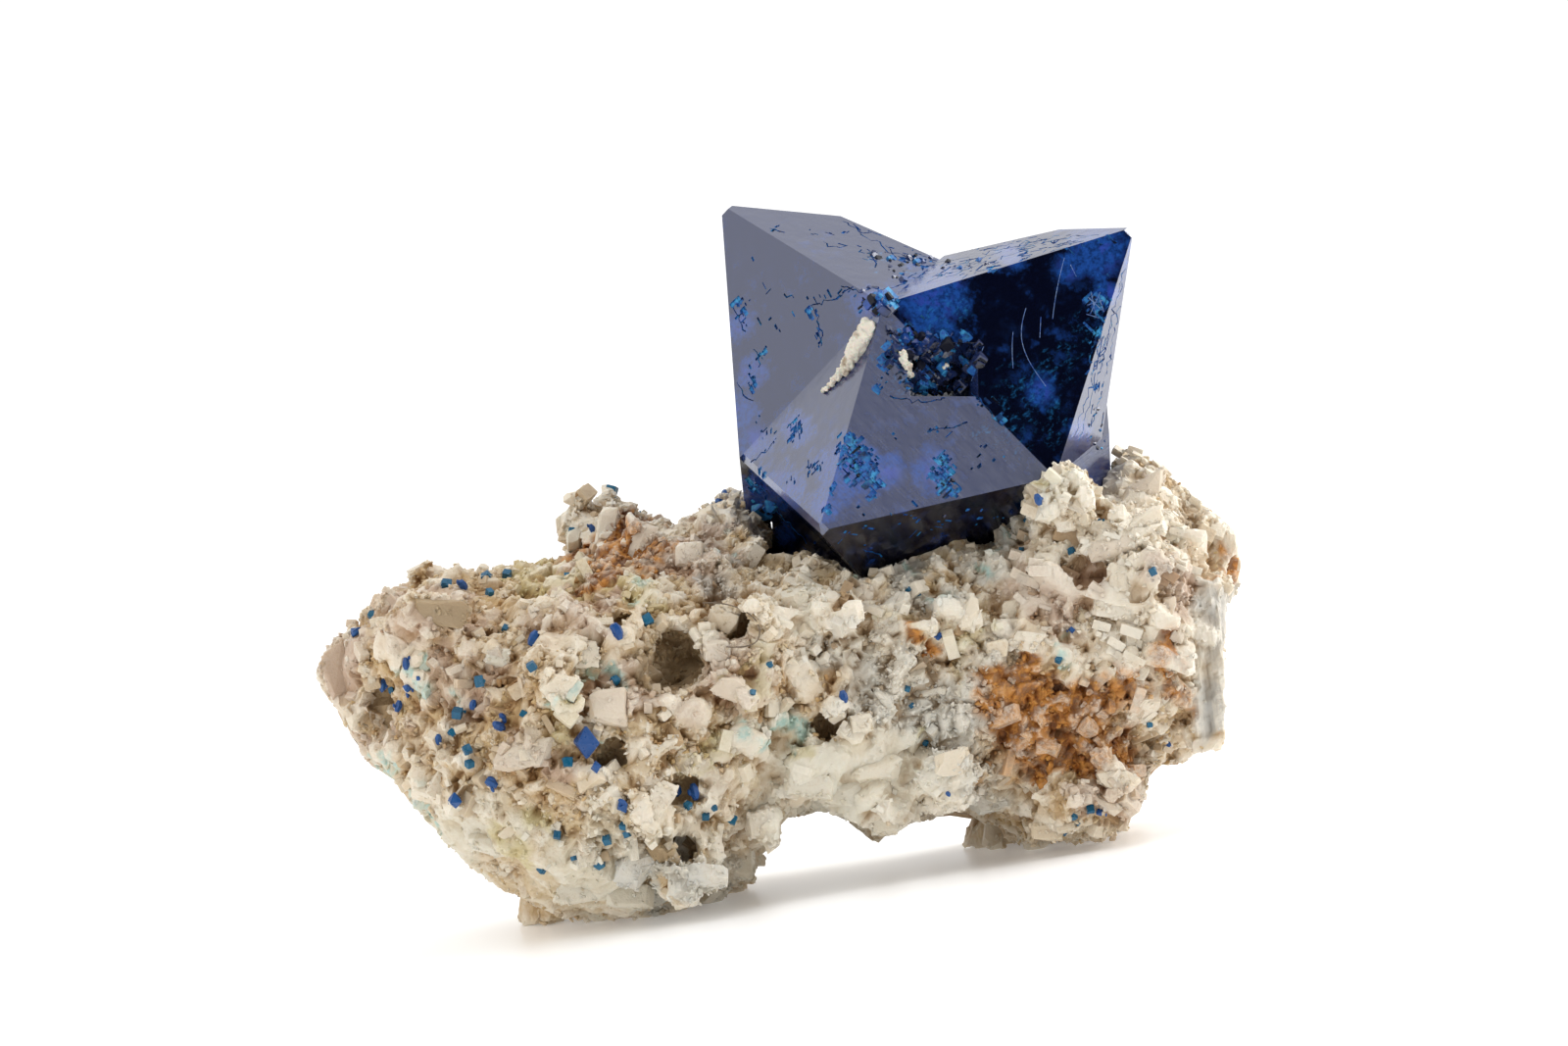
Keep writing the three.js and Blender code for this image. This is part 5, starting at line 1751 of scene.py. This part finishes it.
def tiny_places(rng, teal):
    """The marked tiny crystals, and a sprinkle over the sides and the back."""
    rock = rock_piece().data
    tree = tree_of(rock)
    found = []
    for px, py, size, is_teal in TINY_CRYSTALS:
        if is_teal != teal:
            continue
        hit, normal = met_from_front(tree, px, py)
        if hit is not None:
            found.append((hit, normal, size * MM_PER_PIXEL * MM / 2))
    places, normals, _ = sample_surface(rock, 260, rng)
    seen = in_front_view(places)
    for index, place in enumerate(places):
        hidden = seen[index][1] > 0.5 and place[2] > 1.0 * MM
        if hidden and rng.random() < (0.5 if seen[index][0] < 0 else 0.2):
            found.append((place, normals[index], rng.uniform(0.08, 0.24) * MM))
    return found


class SPECIMEN_OT_small_crystals(bpy.types.Operator):
    """Set the small royal blue and teal crystals on the rock"""

    bl_idname = "specimen.small_crystals"
    bl_label = "Small blue crystals"

    def execute(self, context):
        look = context.scene.specimen.star
        rng = np.random.default_rng(26)
        royal = sorted(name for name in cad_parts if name.startswith("royal_crystal"))
        teal = sorted(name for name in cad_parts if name.startswith("teal_crystal"))
        barrels = [barrel_shape(rng) for _ in range(5)] + [double_pyramid_shape(rng)]
        cubes = [cube_shape(rng) for _ in range(4)]
        royal_look = small_crystal_finish("small_royal_crystal", look.small_royal, (0.012, 0.11, 0.33))
        teal_look = small_crystal_finish("small_teal_crystal", look.small_teal, (0.015, 0.18, 0.29))
        lies = {node: as_barrel(node, rng) for node in royal}
        extra = tiny_places(rng, False)
        small_crystals("royal_crystals", lies, extra, barrels, royal_look, "royal_crystal", rng)
        lies = {node: as_cube(node, rng) for node in teal}
        extra = tiny_places(rng, True)
        small_crystals("teal_crystals", lies, extra, cubes, teal_look, "teal_crystal", rng)
        return {"FINISHED"}


class SPECIMEN_OT_white_bits(bpy.types.Operator):
    """Roughen the white bits that lie on the big crystals"""

    bl_idname = "specimen.white_bits"
    bl_label = "White bits"

    def execute(self, context):
        look = context.scene.specimen.star
        finish = white_finish(look)
        for name in sorted(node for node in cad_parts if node.startswith("white_")):
            mesh = remeshed([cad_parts[name].data], WHITE_STEP)
            points = coordinates(mesh)
            swell = 0.04 * MM * ripple(points, 0.35 * MM, 41) + 0.02 * MM * ripple(points, 0.14 * MM, 42)
            if name == "white_rod":
                swell += 0.15 * MM * (1 - smooth_step(*ROD_TAPER, to_pixels(points)[1]))
            move_vertices(mesh, points + normals_of(mesh) * swell[:, None])
            mesh.materials.clear()
            mesh.materials.append(finish)
            piece = new_piece(name + "_surface", mesh)
            settle(piece, "white_mineral", name)
        return {"FINISHED"}


def thread(name, route, radius):
    """A thin round thread through a few points."""
    curve = bpy.data.curves.new(name, "CURVE")
    curve.dimensions = "3D"
    curve.bevel_depth = radius
    curve.bevel_resolution = 2
    curve.resolution_u = 8
    spline = curve.splines.new("NURBS")
    spline.points.add(len(route) - 1)
    spline.use_endpoint_u = True
    spline.order_u = min(4, len(route))
    for control, point in zip(spline.points, route):
        control.co = (*point, 1.0)
    helper = new_piece(name, curve)
    mesh = applied(helper)
    bpy.data.objects.remove(helper)
    return mesh


def healed_crack_finish(settings):
    finish = Finish("healed_crack")
    mottle = finish.noise(finish.vector("star"), 9.0, 4.0, 0.7)
    colour = mix_colour(finish, finish.band(mottle, 0.35, 0.65), settings.royal, settings.healed)
    finish.set(Base_Color=colour, Roughness=0.5)
    finish.bump(mottle, 0.005 * MM, 0.5)
    return finish.material


class SPECIMEN_OT_healed_cracks(bpy.types.Operator):
    """Draw the thin pale lines of healed cracks on the right crystal"""

    bl_idname = "specimen.healed_cracks"
    bl_label = "Healed cracks"

    def execute(self, context):
        star = star_tree()
        together = bmesh.new()
        for route in HEALED_CRACKS:
            met = [met_from_front(star, px, py)[0] for px, py in route]
            shown = [point for point in met if point is not None]
            together.from_mesh(thread("healed_crack", shown, HEALED_RADIUS))
        mesh = bpy.data.meshes.new("healed_cracks")
        together.to_mesh(mesh)
        together.free()
        mark_star(mesh, star)
        mesh.materials.append(healed_crack_finish(context.scene.specimen.star))
        settle(new_piece("healed_cracks", mesh), "deep_blue_crystal")
        return {"FINISHED"}


class SPECIMEN_OT_lint(bpy.types.Operator):
    """Lay the lint fibre over the brown hollow"""

    bl_idname = "specimen.lint"
    bl_label = "Lint"

    def execute(self, context):
        look = context.scene.specimen.star
        tree = tree_of(rock_piece().data)
        away = np.array(AWAY)
        route = np.array([met_from_front(tree, px, py)[0] for px, py in LINT_ROUTE]) - away * 0.1 * MM
        depths = in_front_view(route)[:, 1]
        sags = np.maximum(0.0, depths - min(depths) - 0.5)
        mesh = thread("lint_fibre", route - away * (sags * 0.6 * MM)[:, None], LINT_RADIUS)
        mesh.materials.clear()
        mesh.materials.append(lint_finish(look.lint))
        settle(new_piece("lint_fibre", mesh), "white_mineral")
        return {"FINISHED"}


def soft_light(name, place, aim, size, power):
    data = bpy.data.lights.new(name, "AREA")
    data.shape = "RECTANGLE"
    data.size, data.size_y = size
    data.energy = power
    light = new_piece(name, data)
    light.location = place
    light.rotation_mode = "QUATERNION"
    light.rotation_quaternion = (Vector(aim) - Vector(place)).to_track_quat("-Z", "Y")


def soft_sky(scene, strength):
    """White all round, with the dark room behind the camera only in reflections."""
    world = bpy.data.worlds.new("soft_sky")
    world.use_nodes = True
    scene.world = world
    nodes, links = world.node_tree.nodes, world.node_tree.links
    background = nodes["Background"]
    background.inputs["Color"].default_value = (1, 1, 1, 1)
    direction = nodes.new("ShaderNodeTexCoord")
    toward = nodes.new("ShaderNodeVectorMath")
    toward.operation = "DOT_PRODUCT"
    toward.inputs[1].default_value = (-0.05, -0.99, 0.12)
    links.new(direction.outputs["Generated"], toward.inputs[0])
    shade = nodes.new("ShaderNodeMapRange")
    shade.interpolation_type = "SMOOTHSTEP"
    for key, value in {"From Min": 0.35, "From Max": 0.85, "To Min": strength, "To Max": 0.02}.items():
        shade.inputs[key].default_value = value
    links.new(toward.outputs["Value"], shade.inputs["Value"])
    path = nodes.new("ShaderNodeLightPath")
    pick = nodes.new("ShaderNodeMix")
    pick.inputs["B"].default_value = 1.0
    links.new(path.outputs["Is Camera Ray"], pick.inputs["Factor"])
    links.new(shade.outputs["Result"], pick.inputs["A"])
    links.new(pick.outputs["Result"], background.inputs["Strength"])


def floor_finish(colour):
    finish = Finish("floor")
    soft = finish.noise(finish.place(), 3.0)
    speckled = mix_colour(finish, finish.band(soft, 0.3, 0.7, 0.0, 0.02), colour, (0.9, 0.9, 0.9))
    finish.set(Base_Color=speckled)
    finish.set(Roughness=0.3, Specular_IOR_Level=0.12, Emission_Strength=0.16)
    finish.shader.inputs["Emission Color"].default_value = (1, 1, 1, 1)
    return finish.material


class SPECIMEN_OT_stage(bpy.types.Operator):
    """Set up the pale floor, the soft light and the camera"""

    bl_idname = "specimen.stage"
    bl_label = "Stage"

    def execute(self, context):
        scene = context.scene
        look = scene.specimen.stage
        scene.view_settings.view_transform = "Standard"
        soft_sky(scene, look.sky)
        corners = [(FLOOR_HALF * x, FLOOR_HALF * y, 0) for x, y in ((-1, -1), (1, -1), (1, 1), (-1, 1))]
        floor = new_piece("floor", mesh_from("floor", corners, [(0, 1, 2, 3)]))
        floor.data.materials.append(floor_finish(look.floor))
        aim = from_front_view(0, 0, 0)
        for name, place, target, size, share in LIGHTS:
            soft_light(name, aim + Vector(place), aim + Vector(target), size, look.key * share)
        camera = bpy.data.objects.new("camera", bpy.data.cameras.new("camera"))
        scene.collection.objects.link(camera)
        axes = Matrix((LEAN @ Vector((1, 0, 0)), LEAN @ Vector((0, 0, 1)), -AWAY)).transposed()
        camera.matrix_world = Matrix.Translation(aim - AWAY * look.distance) @ axes.to_4x4()
        camera.data.sensor_width = 36.0
        camera.data.lens = 36.0 * look.distance / (2 * PICTURE_MIDDLE[0] * MM_PER_PIXEL * MM)
        camera.data.clip_start = 0.01
        camera.data.clip_end = 20.0
        scene.camera = camera
        return {"FINISHED"}


OPERATORS = (
    SPECIMEN_OT_rock, SPECIMEN_OT_pale_crystals, SPECIMEN_OT_marked_crystals, SPECIMEN_OT_grains,
    SPECIMEN_OT_druse, SPECIMEN_OT_star, SPECIMEN_OT_overgrowth, SPECIMEN_OT_healed_cracks,
    SPECIMEN_OT_small_crystals, SPECIMEN_OT_white_bits, SPECIMEN_OT_lint, SPECIMEN_OT_stage,
)


class SPECIMEN_PT_panel(bpy.types.Panel):
    """The specimen's steps and settings"""

    bl_idname = "SPECIMEN_PT_panel"
    bl_label = "Specimen"
    bl_space_type = "VIEW_3D"
    bl_region_type = "UI"
    bl_category = "Specimen"

    def draw(self, context):
        layout = self.layout
        for operator in OPERATORS:
            layout.operator(operator.bl_idname)
        settings = context.scene.specimen
        for group in (settings.rock, settings.star, settings.stage):
            box = layout.box()
            for name in group.__annotations__:
                box.prop(group, name)


CLASSES = (MatrixLook, StarLook, StageLook, SpecimenSettings) + OPERATORS + (SPECIMEN_PT_panel,)


def register():
    for made in CLASSES:
        bpy.utils.register_class(made)
    bpy.types.Scene.specimen = bpy.props.PointerProperty(type=SpecimenSettings)


def unregister():
    del bpy.types.Scene.specimen
    for made in reversed(CLASSES):
        bpy.utils.unregister_class(made)


def main():
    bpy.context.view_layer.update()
    register()
    bpy.ops.specimen.rock()
    bpy.ops.specimen.pale_crystals()
    bpy.ops.specimen.marked_crystals()
    bpy.ops.specimen.grains()
    bpy.ops.specimen.druse()
    bpy.ops.specimen.star()
    bpy.ops.specimen.overgrowth()
    bpy.ops.specimen.healed_cracks()
    bpy.ops.specimen.small_crystals()
    bpy.ops.specimen.white_bits()
    bpy.ops.specimen.lint()
    bpy.ops.specimen.stage()


if __name__ == "__main__":
    main()
